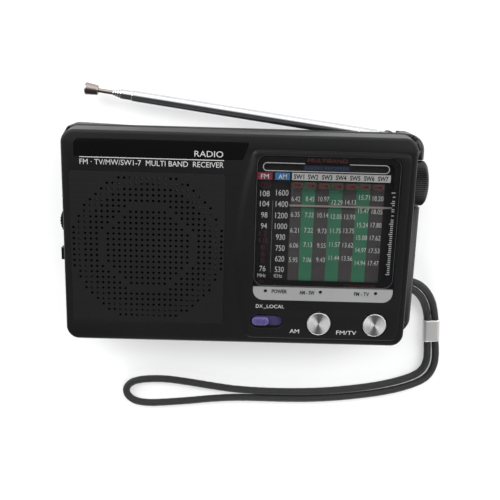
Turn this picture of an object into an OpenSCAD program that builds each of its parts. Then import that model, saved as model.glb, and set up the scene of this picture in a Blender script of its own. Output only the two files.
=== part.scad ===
// Portable multiband shortwave receiver, lying on its back.
// Origin at the middle of the back, +X to the tuning knob, +Y to the antenna, +Z out of the dial.

/* [Case] */
// Width of the front face
face_w = 184.6; // [160:0.2:230]
// Height of the case
case_h = 114; // [104:0.5:140]
// Depth from the back to the front face
case_d = 42; // [38:0.5:60]
// Depth of the rear shell, up to the parting line
split_z = 24; // [22:0.5:26]
// Thickness of the shells
wall = 2.2; // [1.8:0.1:3]
// How far each side of the rear shell stands out past the front face
flare = 6; // [5:0.5:8]
// Radius of the case corners
corner_r = 7; // [4:0.5:12]
// Height of the raised tuning panel above the face
pod_h = 1.2; // [0.8:0.1:2]

/* [Speaker] */
// Distance between grille holes
grille_pitch = 3; // [2.8:0.1:3.4]
// Diameter of a grille hole
grille_hole_d = 1.4; // [1:0.1:1.8]
// Outer diameter of the loudspeaker
speaker_d = 77; // [66:1:78]

/* [Dial] */
// Width of the dial window
lens_w = 75.2; // [70:0.2:80]
// Height of the dial window, without the bar below it
lens_h = 70.7; // [66:0.5:74]
// Height of the indicator bar below the window
bar_h = 7.2; // [6:0.2:9]
// Thickness of the window
lens_t = 1.5; // [1:0.1:2]
// Radius of the drum that moves the pointer
drum_r = 14.5; // [12:0.5:15]

/* [Controls] */
// Diameter of the push buttons
button_d = 12.6; // [10:0.2:14]
// Travel of the push buttons
button_travel = 1.5; // [1:0.1:2]
// Diameter of the tuning knob
knob_d = 24.8; // [22:0.2:26]
// Diameter of the volume wheel
volume_d = 22; // [18:0.5:24]
// Travel of the distance switch
dx_travel = 6.8; // [4:0.2:7]
// Travel of the band selector
band_travel = 18; // [12:1:20]

/* [Antenna] */
// Diameter of the outermost antenna tube
antenna_d = 6.2; // [6:0.1:6.6]
// Length of the outermost antenna tube
antenna_len = 134; // [110:1:140]
// Angle at which the antenna stands when at rest
antenna_rest = 7.4; // [7:0.1:12]

/* [Battery] */
// Diameter of a cell
cell_d = 14.2; // [13.5:0.1:14.4]
// Length of a cell with its contact cap
cell_len = 50; // [48:0.5:50.5]

/* [Hidden] */
$fn = 48;
eps = 0.01;
gap = 0.2;                  // clearance of a piece that sits in a recess
run = 0.08;                 // clearance of a shaft in its hole
seat = 0.3;                 // gap between pieces that pass each other
face_z = case_d;
pod_z = face_z + pod_h;
half_w = face_w / 2;
half_h = case_h / 2;
rear_half_w = half_w + flare;
draft = 1.2;                // the front shell widens by this much towards the parting line
face_edge = 2;              // roundness of the front edge
in_z = face_z - wall;       // inner side of the front face
pod_in_z = pod_z - wall;    // inner side of the tuning panel
pod_r = 176;                // radius of the curved left edge of the tuning panel
pod_x = -2.3;               // leftmost point of that edge
pod_y = -5;

// speaker
spk_x = -half_w + 44.7;
spk_y = -5;
grille_cols = 13;
grille_rows = 13;
panel_w = 2 * grille_cols * grille_pitch + 3.4;
panel_h = 2 * grille_rows * grille_pitch + 3.4;
panel_t = wall;
post_off = speaker_d / 2 - 8.5;
rim_z = in_z - 1.8;         // back of the loudspeaker's rim
cone_travel = 0.5;

// dial
lens_x = 46.5;
lens_top = 46.4;
lens_y = lens_top - lens_h / 2;
bar_gap = 0.15;
bar_y = lens_top - lens_h - bar_gap - bar_h / 2;
recess_h = lens_h + bar_gap + bar_h;
recess_y = lens_top - recess_h / 2;
lens_r = 5.4;
ledge = 3.4;
led_xs = [15.6, 45.2, 75];
led_y = bar_y + 1.4;
led_board_z = pod_in_z - 4.8;
scale_z = pod_in_z - 4.4;   // front of the printed scale
scale_t = 0.6;
scale_w = lens_w - 1.6;
scale_h = lens_h - 2.4;
scale_x = lens_x - 0.2;
scale_y = lens_y - 0.5;
pointer_z = scale_z + 0.8;
pointer_y = 19.4;           // pointer at rest
pointer_x0 = 27;

// tuning drive: one loop in a plane across X
tune_y = 30.2;
tune_z = 19;
loop_x = 88;
cord_r = 0.35;
drum_w = 2.4;
run_z = tune_z + drum_r + cord_r + 0.05;
idler_r = 3;
idler_y = -24;
idler_zs = [tune_z + drum_r - idler_r, tune_z - drum_r + idler_r];
rail_x = 84.4;
rail_z = run_z - 2.6;
rail_r = 0.9;
knob_x0 = half_w + draft + 0.7;
knob_t = 7.8;
shaft_r = 3;

// circuit board
board_x0 = -4;
board_x1 = 81;
board_y0 = -51;
board_y1 = 43;
board_z = 9;
board_t = 1.6;
board_top = board_z + board_t;
board_posts = [[2, 36], [2, -44], [76, -44], [74, 8]];
cap_x0 = 60;
cap_x1 = 80;

// case screws
screw_r = 1.4;
case_screws = [[-half_w + 7, half_h - 9], [50, 48.3], [half_w - 6, -half_h + 7], [-half_w + 7, -half_h + 7]];

// buttons and the distance switch
button_y = -44.6;
button_xs = [45.1, 75.5];
button_r = button_d / 2;
flange_t = 1;
switch_z = pod_in_z - 9.2;
dx_x = 13.4;
dx_y = -43.9;
dx_w = 9.4;
dx_h = 4.9;
dx_slot_w = dx_w + dx_travel + 1.1;
dx_slot_h = 8.2;
dx_slot_x = dx_x + dx_travel / 2;
dx_base_w = dx_w + 2 * dx_travel + 2;

// left side controls
vol_r = volume_d / 2;
vol_y = 3;
vol_z = 13;
vol_t = 3.2;
vol_x = -rear_half_w - 1.6 + vol_r;
band_y = -26;
band_z = 10;
band_knob_w = 7;
jack_x = -rear_half_w;
ear_y = 36;
dc_y = 25;
jack_z = 10.2;
side_z = 4;                 // small board behind the left side
side_t = 1.2;
side_top = side_z + side_t;

// battery
bat_x0 = -half_w + 15;
bat_len = cell_len + 8;
bat_y0 = -half_h + 5;
bat_pitch = cell_d + 0.6;
bat_h = 2 * bat_pitch + 0.4;
bat_z0 = wall + 0.2;
bat_z1 = bat_z0 + cell_d + 0.5;
door_x0 = bat_x0 + 1.5;
door_w = bat_len - 3;
door_t = 1.5;
door_lip = 1;
door_y1 = bat_y0 + bat_h + 1.5;
door_travel = 38;

// antenna
piv = [82, 54, 9];
tube_w = 0.3;
tube_clr = 0.08;
tube_n = 5;
tube_step = 2 * (tube_w + tube_clr);
tube_out = 1.4;             // how far each closed section stands out of the one round it
tube_first_out = 6.4;
tang_len = 9;
slot_floor = piv[1] - antenna_d / 2 - 0.6; // floor of the rebate at the pivot
rebate_z = 13.6;
stow = 2.2;                 // angle of the stowed antenna
clip_x = -76;
tip_len = 7.2;

// strap
strap_d = 4.4;
strap_ys = [-29.4, -34.4];
strap_z = 8;
clamp_w = 9.8;
clamp_h = 5.2;
clamp_len = 13.6;
clamp_c = [117.8, -61.6];
clamp_turn = 4;
// points of the strap, from its upper end round the loop and back to its lower end
strap_pts = [
    [91.5, -29.4, 8], [98, -29.4, 8], [103, -30, 7.9], [108, -32.4, 7], [113, -37.4, 5], [117, -44.5, 3.2],
    [119.4, -54, 2.7], [120.2, -61.5, 2.7], [120.9, -69, 2.6], [121.9, -77, 2.3], [121.6, -84, 2.3],
    [119, -90.6, 2.3], [113.5, -95.4, 2.3], [103, -99.8, 2.3], [90, -103.2, 2.3], [76, -105.6, 2.3],
    [60, -107.6, 2.3], [44, -108.7, 2.3], [28, -109, 2.3], [14, -108.9, 2.3], [0, -109.1, 2.3],
    [-14, -110.2, 2.3], [-28, -111.9, 2.3], [-42, -113.3, 2.3], [-53, -113.9, 2.3], [-61, -112.6, 2.3],
    [-65.6, -108.8, 2.3], [-66, -104, 2.3], [-62, -100.1, 2.3], [-54, -98.2, 2.3], [-42, -97.9, 2.3],
    [-28, -99.5, 2.3], [-14, -101.6, 2.3], [0, -103.4, 2.3], [14, -104.2, 2.3], [28, -104.4, 2.3],
    [44, -104, 2.3], [60, -102.8, 2.3], [76, -100.7, 2.3], [89, -98.3, 2.3], [101, -95, 2.3],
    [110.4, -91, 2.3], [115, -86.6, 2.3], [116.8, -81, 2.3], [116.8, -76, 2.3], [116.2, -69.4, 2.6],
    [115.4, -61.9, 2.7], [114.6, -54.4, 2.7], [112.9, -48, 3.2], [109.6, -41.6, 5], [105.6, -37.2, 7],
    [102, -35, 7.9], [98, -34.4, 8], [91.5, -34.4, 8]
];

// ---- shared shapes ----

// rectangle with round corners, centred
module round_rect(w, h, r) {
    square([w - 2 * r, h], center = true);
    square([w, h - 2 * r], center = true);
    for (sx = [-1, 1], sy = [-1, 1])
        translate([sx * (w / 2 - r), sy * (h / 2 - r)]) circle(r);
}

// plate with round corners, standing on z
module plate(w, h, r, z, t) {
    translate([0, 0, z]) linear_extrude(t) round_rect(w, h, r);
}

// straight bar between two points along one axis
module rod_x(x0, x1, r) {
    translate([x0, 0, 0]) rotate([0, 90, 0]) cylinder(x1 - x0, r, r);
}

module rod_y(y0, y1, r) {
    translate([0, y0, 0]) rotate([-90, 0, 0]) cylinder(y1 - y0, r, r);
}

// outline with fine ribs all round, for knurled wheels
function ribbed(r, n, depth) = [
    for (i = [0 : 2 * n - 1]) let (a = 180 * i / n, q = r - (i % 2 == 0 ? 0 : depth)) [q * cos(a), q * sin(a)]
];

// box with its low corner and size
module block(x, y, z, w, h, t) {
    translate([x, y, z]) cube([w, h, t]);
}

// ---- front shell ----

module front_outer() {
    hull() {
        plate(face_w + 2 * draft, case_h, corner_r, split_z, 0.1);
        plate(face_w, case_h - 0.6, corner_r, face_z - face_edge, 0.1);
        plate(face_w - 1.2, case_h - 1.8, corner_r - 0.6, face_z - 0.6, 0.1);
        plate(face_w - 3, case_h - 3.6, corner_r - 1.5, face_z - 0.1, 0.1);
    }
}

module pod_outline(inset) {
    intersection() {
        translate([pod_x + pod_r + inset, pod_y]) circle(pod_r, $fn = 200);
        translate([pod_x, -half_h + 3 + inset])
            square([half_w - 3 - pod_x - inset, half_h + 46 - 2 * inset]);
    }
}

module front_case() {
    color("#1c1c1e") difference() {
        union() {
            difference() {
                union() {
                    front_outer();
                    translate([0, 0, face_z - 0.1]) linear_extrude(pod_h + 0.1) pod_outline(0);
                }
                plate(face_w - 2 * wall, case_h - 2 * wall - 0.6, corner_r - wall, split_z - 1, in_z - split_z + 1);
                translate([0, 0, in_z - 0.1]) linear_extrude(pod_in_z - in_z + 0.1) pod_outline(wall);
            }
            for (p = case_screws)
                translate([p[0], p[1], split_z]) cylinder(in_z - split_z + 0.2, 3.4, 3.4);
            for (x = [led_xs[0] + 14, led_xs[2] - 14])
                translate([x, bar_y + 1, led_board_z + 1]) cylinder(pod_in_z - led_board_z - 0.9, 1, 1);
            for (sx = [-1, 1], y = [scale_y + scale_h / 2 - 0.9, scale_y - scale_h / 2 + 0.9])
                translate([scale_x + sx * (scale_w / 2 - 0.9), y, scale_z])
                    cylinder(pod_in_z - scale_z + 0.1, 0.8, 0.8);
        }
        // loudspeaker opening
        translate([spk_x, spk_y, 0]) plate(panel_w, panel_h, 2, in_z - 1, wall + 4);
        // recess of the window and of the bar, and the opening behind them
        translate([lens_x, recess_y, 0])
            plate(lens_w + 2 * gap, recess_h + 2 * gap, lens_r + gap, pod_z - lens_t, lens_t + 1);
        translate([lens_x, lens_y, 0])
            plate(lens_w - 2 * ledge, lens_h - 2 * ledge, 3, pod_in_z - 1, wall + 2);
        for (x = led_xs)
            translate([x, led_y, pod_in_z - 1]) cylinder(wall + 2, 1.7, 1.7);
        // button holes and their sunk rings
        for (x = button_xs) {
            translate([x, button_y, pod_in_z - 1]) cylinder(wall + 3, button_r + gap, button_r + gap);
            translate([x, button_y, pod_z - 0.7]) cylinder(2, button_r + 0.9, button_r + 0.9);
        }
        // slot of the distance switch
        translate([dx_slot_x, dx_y, 0])
            plate(dx_slot_w, dx_slot_h, dx_slot_h / 2 - 0.1, pod_z - 1, 2);
        translate([dx_slot_x, dx_y, 0])
            plate(dx_slot_w - 0.6, dx_h + 0.8, dx_h / 2, pod_in_z - 1, wall + 2);
        block(dx_x - dx_base_w / 2 - 0.4, dx_y - 4, in_z - 0.2, dx_base_w + dx_travel + 0.8, 8, pod_in_z - in_z + 0.2);
        // screw holes and the tuning shaft
        for (p = case_screws)
            translate([p[0], p[1], split_z - 1]) cylinder(11, screw_r + 0.02, screw_r + 0.02);
    }
}

// ---- rear shell ----

// side view of the antenna rebate, raised or lowered by d
module rebate_outline(d) {
    x1 = piv[0] + 5.4;
    x0 = -rear_half_w - 5;
    polygon([
        [x1 + d, half_h + 9], [x1 + d, slot_floor - 1.5 - d], [piv[0] - 5.4 - d, slot_floor - 1.5 - d],
        [piv[0] - 5.4 - d, slot_floor + 0.2 - d],
        [x0, slot_floor - d + (piv[0] - x0) * tan(stow)], [x0, half_h + 9]
    ]);
}

module rebate(d) {
    translate([0, 0, -1]) linear_extrude(rebate_z + 1 + d) rebate_outline(d);
}

module rear_outer() {
    // a little wider on the right, towards the tuning knob
    translate([0.75, 0, 0]) hull() {
        plate(2 * rear_half_w - 2.5, case_h - 4, corner_r, 0, 0.1);
        plate(2 * rear_half_w + 1.5, case_h, corner_r + 2, 2.6, 0.1);
        plate(2 * rear_half_w + 1.5, case_h, corner_r + 2, split_z - 3, 0.1);
        plate(2 * rear_half_w - 2.5, case_h, corner_r + 1, split_z - 0.1, 0.1);
    }
}

module rear_inner() {
    difference() {
        plate(2 * (rear_half_w - wall) - 3.6, case_h - 2 * wall, corner_r - wall + 2, wall, split_z - wall);
        rebate(wall);
        translate([0, 0, -1]) linear_extrude(bat_z1 + 1 + 1.2) translate([bat_x0 - 1.4, bat_y0 - 6])
            square([bat_len + 2.8, bat_h + 7.4]);
    }
}

// the recess that the battery door slides in, wider at its inner half
module door_space(d) {
    block(door_x0 - d, -half_h - 5, -1, door_w + 2 * d, half_h + 5 + door_y1 + d, door_t / 2 + 1 + d);
    block(door_x0 - door_lip - d, -half_h - 5, door_t / 2 - d, door_w + 2 * door_lip + 2 * d,
        half_h + 5 + door_y1 + d, door_t / 2 + 2 * d);
}

module rear_case() {
    color("#19191b") difference() {
        union() {
            difference() {
                rear_outer();
                rear_inner();
            }
            for (p = case_screws)
                translate([p[0], p[1], 0.5]) cylinder(split_z - 0.5, 3.6, 3.6);
            for (p = board_posts)
                translate([p[0], p[1], wall - 0.2]) cylinder(board_z - wall + 0.2, 2.6, 2.6);
            for (y = [-12, 18])
                translate([-half_w + 3.4, y, wall - 0.2]) cylinder(side_z - wall + 0.2, 2, 2);
            // antenna rest on the rear edge
            block(clip_x - 2, half_h - 0.6, 3, 4, 1.4, 6);
        }
        rebate(0);
        block(clip_x - 6, half_h + 0.8, 0, 12, 3, 20);
        // battery space and the way into it
        block(bat_x0, bat_y0, bat_z0 - 0.1, bat_len, bat_h, bat_z1 - bat_z0 + 0.1);
        block(bat_x0 + 3, bat_y0 + 1, -1, bat_len - 6, bat_h - 2, bat_z0 + 2);
        door_space(0.12);
        // case screws from behind
        for (p = case_screws) {
            translate([p[0], p[1], -1]) cylinder(split_z + 2, screw_r + 0.25, screw_r + 0.25);
            translate([p[0], p[1], -1]) cylinder(6, 3, 3);
        }
        for (p = board_posts)
            translate([p[0], p[1], wall + 1]) cylinder(board_z, 0.82, 0.82);
        // pocket of the tuning knob and hole of its shaft
        block(half_w + draft + 0.2, tune_y - knob_d / 2 - 0.8, -1, flare + 5, knob_d + 1.6, split_z + 3);
        translate([0, tune_y, tune_z]) rod_x(half_w - wall - 3, rear_half_w + 2, shaft_r + run);
        // stem of the antenna base
        translate([piv[0], 0, piv[2]]) rod_y(slot_floor - 8, slot_floor, 2 + run);
        // volume wheel and band selector
        block(-rear_half_w - 1, vol_y - vol_r - 0.5, vol_z - seat, wall + 3, 2 * vol_r + 1, vol_t + 2 * seat);
        block(-rear_half_w - 1, band_y - band_travel / 2 - 1.8, band_z - 1.8, wall + 4, band_travel + 3.6, 3.6);
        // headphone and power jacks
        translate([0, ear_y, jack_z]) rod_x(jack_x - 1, jack_x + wall + 3, 3.05);
        translate([0, dc_y, jack_z]) rod_x(jack_x - 1, jack_x + wall + 3, 4.05);
        // slot that the strap comes out of
        block(rear_half_w - wall - 3, strap_ys[1] - 2.7, strap_z - 2.7, wall + 5, strap_ys[0] - strap_ys[1] + 5.4, 5.4);
    }
}

// ---- loudspeaker ----

function band_of(i, j) = max(abs(i) - 0.5, abs(j), abs(i) + abs(j) - 3);
function is_hole(i, j) = norm([i, j]) <= 13.5 && band_of(i, j) != 7.5;

module speaker_grille() {
    color("#1f1f21") difference() {
        union() {
            translate([spk_x, spk_y, in_z]) linear_extrude(panel_t) difference() {
                round_rect(panel_w - 0.1, panel_h - 0.1, 1.95);
                for (i = [-grille_cols : grille_cols], k = [-grille_rows : grille_rows - 1])
                    let (j = k + 0.5)
                        if (is_hole(i, j))
                            translate([i * grille_pitch, j * grille_pitch]) circle(grille_hole_d / 2, $fn = 16);
            }
            for (sx = [-1, 1], sy = [-1, 1])
                translate([spk_x + sx * post_off, spk_y + sy * post_off, rim_z]) cylinder(in_z - rim_z + 0.1, 2.2, 2.2);
        }
        for (sx = [-1, 1], sy = [-1, 1])
            translate([spk_x + sx * post_off, spk_y + sy * post_off, rim_z - 1]) cylinder(1.8, 0.82, 0.82);
    }
}

module speaker_frame() {
    r = speaker_d / 2;
    color("#8a8d90") translate([spk_x, spk_y, 0]) rotate_extrude() polygon([
        [r - 4, in_z], [r, in_z], [r, rim_z], [r - 3.4, rim_z], [r - 9, in_z - 10], [8, in_z - 11.8],
        [8, in_z - 10.8], [r - 9.6, in_z - 9], [r - 4, rim_z + 0.9]
    ]);
}

module speaker_magnet() {
    color("#3b3d40") translate([spk_x, spk_y, 0]) difference() {
        union() {
            translate([0, 0, in_z - 13.8]) cylinder(2, 20, 20);
            translate([0, 0, in_z - 19.8]) cylinder(6, 22.5, 22.5);
            translate([0, 0, in_z - 21]) cylinder(1.2, 20, 20);
            translate([0, 0, in_z - 11.9]) cylinder(0.1, 7, 7);
            translate([0, 0, in_z - 12]) cylinder(0.2, 12, 12);
        }
        translate([0, 0, in_z - 14.5]) difference() {
            cylinder(5, 7.6, 7.6);
            translate([0, 0, -1]) cylinder(4, 5.6, 5.6);
        }
    }
}

module speaker_cone() {
    r = speaker_d / 2;
    color("#2a2826") translate([spk_x, spk_y, 0]) rotate_extrude() polygon([
        [r - 4.4, rim_z + 1.1], [r - 5.4, in_z - 0.7], [r - 6.8, rim_z + 0.9], [10, in_z - 8.2], [6, in_z - 5.4],
        [0, in_z - 4.6], [0, in_z - 5], [5.8, in_z - 5.8], [6.2, in_z - 11.4], [6.9, in_z - 11.4], [6.9, in_z - 8.6],
        [9.6, in_z - 8.8], [r - 7, rim_z + 0.3], [r - 5.4, in_z - 1], [r - 4.7, rim_z + 0.9]
    ]);
}

module speaker_clamps() {
    color("#b9bcc0") for (sx = [-1, 1], sy = [-1, 1])
        translate([spk_x + sx * post_off, spk_y + sy * post_off, 0]) rotate([0, 0, atan2(sy, sx)]) {
            translate([-5, -2, rim_z - 0.8]) cube([7, 4, 0.8]);
            translate([0, 0, rim_z - 1.8]) cylinder(1, 1.6, 1.6);
            translate([0, 0, rim_z - 0.9]) cylinder(1.6, 0.8, 0.8);
        }
}

// ---- dial ----

module dial_lens() {
    color([0.12, 0.13, 0.14, 0.45]) difference() {
        translate([lens_x, recess_y, 0]) plate(lens_w, recess_h, lens_r, pod_z - lens_t + 0.02, lens_t - 0.02);
        block(lens_x - lens_w, bar_y - bar_h, pod_z - lens_t - 1, 2 * lens_w, 1.5 * bar_h + bar_gap, lens_t + 2);
    }
}

module indicator_bar() {
    color("silver") difference() {
        translate([lens_x, recess_y, 0]) plate(lens_w, recess_h, lens_r, pod_z - lens_t + 0.02, lens_t - 0.02);
        block(lens_x - lens_w, bar_y + bar_h / 2, pod_z - lens_t - 1, 2 * lens_w, lens_h + 2, lens_t + 2);
        for (x = led_xs)
            translate([x, led_y, pod_z - lens_t - 1]) cylinder(lens_t + 2, 0.95, 0.95);
    }
}

module dial_scale() {
    color("#17181a") translate([scale_x, scale_y, scale_z - scale_t]) linear_extrude(scale_t)
        square([scale_w, scale_h], center = true);
}

module led_board() {
    color("#2f5d34") block(led_xs[0] - 3, bar_y - 2.2, led_board_z, led_xs[2] - led_xs[0] + 6, 6, 1);
}

module indicator_leds() {
    color("#7a1616") for (x = led_xs) translate([x, led_y, led_board_z + 1]) {
        cylinder(pod_z - lens_t - led_board_z - 2.4, 1.45, 1.45);
        translate([0, 0, pod_z - lens_t - led_board_z - 2.4]) cylinder(0.9, 1.45, 0.8);
    }
}

// ---- electronics ----

module circuit_board() {
    color("#8a6a3a") difference() {
        block(board_x0, board_y0, board_z, board_x1 - board_x0, board_y1 - board_y0, board_t);
        for (p = case_screws)
            translate([p[0], p[1], board_z - 1]) cylinder(board_t + 2, 4.4, 4.4);
        for (p = board_posts)
            translate([p[0], p[1], board_z - 1]) cylinder(board_t + 2, 1.1, 1.1);
        block(board_x1 - 12, idler_y - 7, board_z - 1, 20, 14, board_t + 2);
        block(piv[0] - 12, board_y1 - 3, board_z - 1, 30, 8, board_t + 2);
    }
}

module tuning_capacitor() {
    color("#d8d4c8") difference() {
        union() {
            block(cap_x0, tune_y - 10, board_top, cap_x1 - cap_x0, 20, 2 * (tune_z - board_top));
            for (sy = [-1, 1])
                block(cap_x0 + 3, tune_y + sy * 10.6 - 0.6, board_top, 4, 1.2, 5);
        }
        translate([0, tune_y, tune_z]) rod_x(cap_x1 - 6, cap_x1 + 1, shaft_r + run);
    }
}

module if_transformers() {
    color("silver") for (p = [[12, 26], [24, 26], [36, 26], [12, -12], [40, -14]])
        translate([p[0], p[1], board_top]) {
            translate([-3.6, -3.6, 0]) cube([7.2, 7.2, 11]);
            translate([0, 0, 11]) cylinder(0.8, 1.8, 1.8);
        }
}

module chips() {
    color("#202022") {
        block(14, 4, board_top + 0.6, 20, 6.6, 3.2);
        block(44, -2, board_top + 0.6, 10, 6.6, 3.2);
        for (x = [15 : 2.54 : 33], s = [0, 1])
            block(x, 3.2 + s * 7.6, board_top, 0.6, 0.8, 2.6);
        for (x = [45 : 2.54 : 53], s = [0, 1])
            block(x, -2.8 + s * 7.6, board_top, 0.6, 0.8, 2.6);
    }
}

module electrolytics() {
    color("#27406b") for (p = [[4, -26, 4, 12], [14, -28, 3.2, 11], [24, -27, 3.2, 11], [52, -26, 5, 13], [62, -8, 4, 12]])
        translate([p[0], p[1], board_top]) cylinder(p[3], p[2], p[2]);
}

rod_x0 = -74;
rod_len = 80;
ferrite_y = half_h - 12;
ferrite_z = in_z - 8.4;

module ferrite_rod() {
    color("#3a3532") translate([0, ferrite_y, ferrite_z]) rod_x(rod_x0, rod_x0 + rod_len, 4.9);
}

module ferrite_coils() {
    color("#a8642c") for (c = [[rod_x0 + 18, 20], [rod_x0 + 50, 16]]) translate([0, ferrite_y, ferrite_z]) difference() {
        rod_x(c[0], c[0] + c[1], 6.2);
        rod_x(c[0] - 1, c[0] + c[1] + 1, 5.0);
    }
}

module ferrite_holders() {
    color("#e6e2d6") for (x = [rod_x0 + 4, rod_x0 + rod_len - 8]) difference() {
        block(x, ferrite_y - 6.6, ferrite_z - 6.6, 4, 13.2, in_z - ferrite_z + 6.6);
        translate([0, ferrite_y, ferrite_z]) rod_x(x - 1, x + 5, 5.0);
    }
}

// ---- tuning drive ----

module tuning_knob() {
    color("#161618") translate([0, tune_y, tune_z]) {
        rotate([90, 0, 90]) translate([0, 0, knob_x0]) {
            linear_extrude(knob_t - 1.6) polygon(ribbed(knob_d / 2, 60, 0.4));
            translate([0, 0, knob_t - 1.7]) cylinder(1.3, knob_d / 2 - 0.6, knob_d / 2 - 1.5);
            translate([0, 0, knob_t - 0.5]) cylinder(0.5, knob_d / 2 - 1.6, knob_d / 2 - 2.6);
        }
        rod_x(cap_x1 - 5, knob_x0 + 0.1, shaft_r);
    }
}

module tuning_drum() {
    color("#ded9c8") translate([loop_x, tune_y, tune_z]) rotate([0, 90, 0]) rotate_extrude($fn = 72) polygon([
        [shaft_r, -drum_w / 2], [drum_r + 1, -drum_w / 2], [drum_r + 1, -0.7], [drum_r, -0.4],
        [drum_r, 0.4], [drum_r + 1, 0.7], [drum_r + 1, drum_w / 2], [shaft_r, drum_w / 2]
    ]);
}

module pulley(z) {
    translate([loop_x, idler_y, z]) rotate([0, 90, 0]) rotate_extrude() polygon([
        [1.1, -1.1], [idler_r + 0.8, -1.1], [idler_r + 0.8, -0.7], [idler_r, -0.4], [idler_r, 0.4],
        [idler_r + 0.8, 0.7], [idler_r + 0.8, 1.1], [1.1, 1.1]
    ]);
}

module front_pulley() {
    color("#ded9c8") pulley(idler_zs[0]);
}

module rear_pulley() {
    color("#ded9c8") pulley(idler_zs[1]);
}

module pulley_pins() {
    color("#c8cacc") {
        for (z = idler_zs) translate([0, idler_y, z]) {
            rod_x(loop_x - 2.4, loop_x + 1.4, 1.02);
            rod_x(loop_x + 1.3, loop_x + 1.8, 1.8);
        }
        // upright bracket that carries both pins
        block(loop_x - 2.5, idler_y - 3, wall, 1, 6, idler_zs[0] + 3 - wall);
        block(loop_x - 2.5, idler_y - 9, wall, 1, 6.2, 3);
    }
}

module loop_outline(r) {
    translate([tune_y, tune_z]) circle(drum_r + r, $fn = 96);
    for (z = idler_zs) translate([idler_y, z]) circle(idler_r + r);
    translate([idler_y, tune_z - drum_r - r]) square([tune_y - idler_y, 2 * (drum_r + r)]);
    translate([idler_y - idler_r - r, idler_zs[1]]) square([idler_r + r, idler_zs[0] - idler_zs[1]]);
}

module dial_cord() {
    color("#e9e4d2") translate([loop_x - cord_r, 0, 0]) rotate([90, 0, 90]) linear_extrude(2 * cord_r) difference() {
        loop_outline(0.05 + 2 * cord_r);
        loop_outline(0.05);
    }
}

module pointer_rail() {
    color("#c8cacc") {
        translate([rail_x, 0, rail_z]) rod_y(-29, 40, rail_r);
        for (y = [-29, 38.8])
            block(rail_x - 1.2, y, rail_z, 2.4, 1.2, in_z - rail_z);
    }
}

module dial_pointer() {
    color("#d9c3b8") difference() {
        union() {
            block(rail_x - 1.8, pointer_y - 4, rail_z - 1.9, 3.6, 8, 3.8);
            block(rail_x - 0.9, pointer_y - 2, run_z + 0.9, loop_x - rail_x + 1.2, 4, 0.9);
            block(rail_x - 0.9, pointer_y - 2, rail_z + 1.8, 1.8, 4, pointer_z - rail_z - 1);
            block(pointer_x0, pointer_y - 0.45, pointer_z, rail_x + 0.9 - pointer_x0, 0.9, 0.8);
        }
        translate([rail_x, 0, rail_z]) rod_y(pointer_y - 6, pointer_y + 6, rail_r + run);
    }
}

// ---- side controls ----

module volume_wheel() {
    color("#161618") translate([vol_x, vol_y, vol_z]) difference() {
        union() {
            linear_extrude(vol_t) polygon(ribbed(vol_r, 40, 0.35));
            translate([0, 0, -4.6]) cylinder(4.7, 1.6, 1.6);
        }
        translate([0, 0, vol_t - 0.6]) cylinder(1.6, vol_r - 2, vol_r - 2);
    }
}

module volume_pot() {
    color("#6b4a2c") translate([vol_x, vol_y, 0]) difference() {
        translate([-4.8, -5, side_top]) cube([9.6, 10, vol_z - side_top - seat]);
        translate([0, 0, side_top + 2]) cylinder(vol_z, 1.6 + run, 1.6 + run);
    }
}

module side_board() {
    color("#8a6a3a") block(-rear_half_w + 4.4, -44, side_z, 11.4, 86, side_t);
}

module band_switch() {
    color("#9a9da0") difference() {
        block(-rear_half_w + wall + 2.6, band_y - band_travel / 2 - 7, side_top, 8, band_travel + 14, 8.6);
        block(-rear_half_w + wall + 2, band_y - band_travel / 2 - 2.2, band_z - 1.4, 3.4, band_travel + 4.4, 2.8);
    }
}

module band_knob() {
    y = band_y + band_travel / 2;
    color("#161618") {
        block(-rear_half_w - 2, y - 1.4, band_z - 1.2, wall + 6, 2.8, 2.4);
        block(-rear_half_w - 2.4, y - band_knob_w / 2, band_z - 2.6, 2.2, band_knob_w, 5.2);
    }
}

module dx_switch() {
    color("#9a9da0") difference() {
        block(dx_slot_x - 11, dx_y - 4.2, switch_z, 22, 8.4, 5);
        block(dx_slot_x - dx_travel / 2 - 2, dx_y - 1.6, switch_z + 1.6, dx_travel + 4, 3.2, 5);
    }
}

module dx_knob() {
    color("#6a55c0") translate([dx_x, dx_y, 0]) {
        plate(dx_w, dx_h, dx_h / 2 - 0.05, pod_in_z - 0.4, pod_z - pod_in_z + 0.5);
        for (x = [-2.4 : 1.2 : 2.4])
            block(x - 0.25, -dx_h / 2 + 0.5, pod_z, 0.5, dx_h - 1, 0.5);
        block(-dx_base_w / 2, -3.6, pod_in_z - 1.2, dx_base_w, 7.2, 0.9);
        block(-1.2, -1.2, switch_z + 2.2, 2.4, 2.4, pod_in_z - switch_z - 3.2);
    }
}

module push_switches() {
    color("#c9c4b6") for (x = button_xs) difference() {
        block(x - 4, button_y - 4, switch_z - 2, 8, 8, 5);
        block(x - 1.7, button_y - 1.7, switch_z, 3.4, 3.4, 5);
    }
}

module push_button(x) {
    translate([x, button_y, 0]) {
        translate([0, 0, pod_in_z - 0.2]) cylinder(pod_z - pod_in_z + 0.5, button_r, button_r);
        translate([0, 0, pod_z + 0.3]) cylinder(0.4, button_r, button_r - 0.5);
        translate([0, 0, pod_in_z - 0.1 - flange_t]) cylinder(flange_t, button_r + 0.6, button_r + 0.6);
        translate([-1.5, -1.5, switch_z + button_travel + 0.4])
            cube([3, 3, pod_in_z - switch_z - flange_t - button_travel - 0.4]);
    }
}

module am_button() {
    color("#d4d6d8") push_button(button_xs[0]);
}

module fm_button() {
    color("#d4d6d8") push_button(button_xs[1]);
}

module headphone_jack() {
    color("#b9bcc0") translate([0, ear_y, jack_z]) difference() {
        union() {
            rod_x(jack_x - 0.3, jack_x + wall + 2, 3);
            translate([jack_x + wall + 1.9, -4, side_top - jack_z]) cube([11, 8, jack_z - side_top + 4]);
        }
        rod_x(jack_x - 1, jack_x + wall + 11, 1.8);
    }
}

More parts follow.
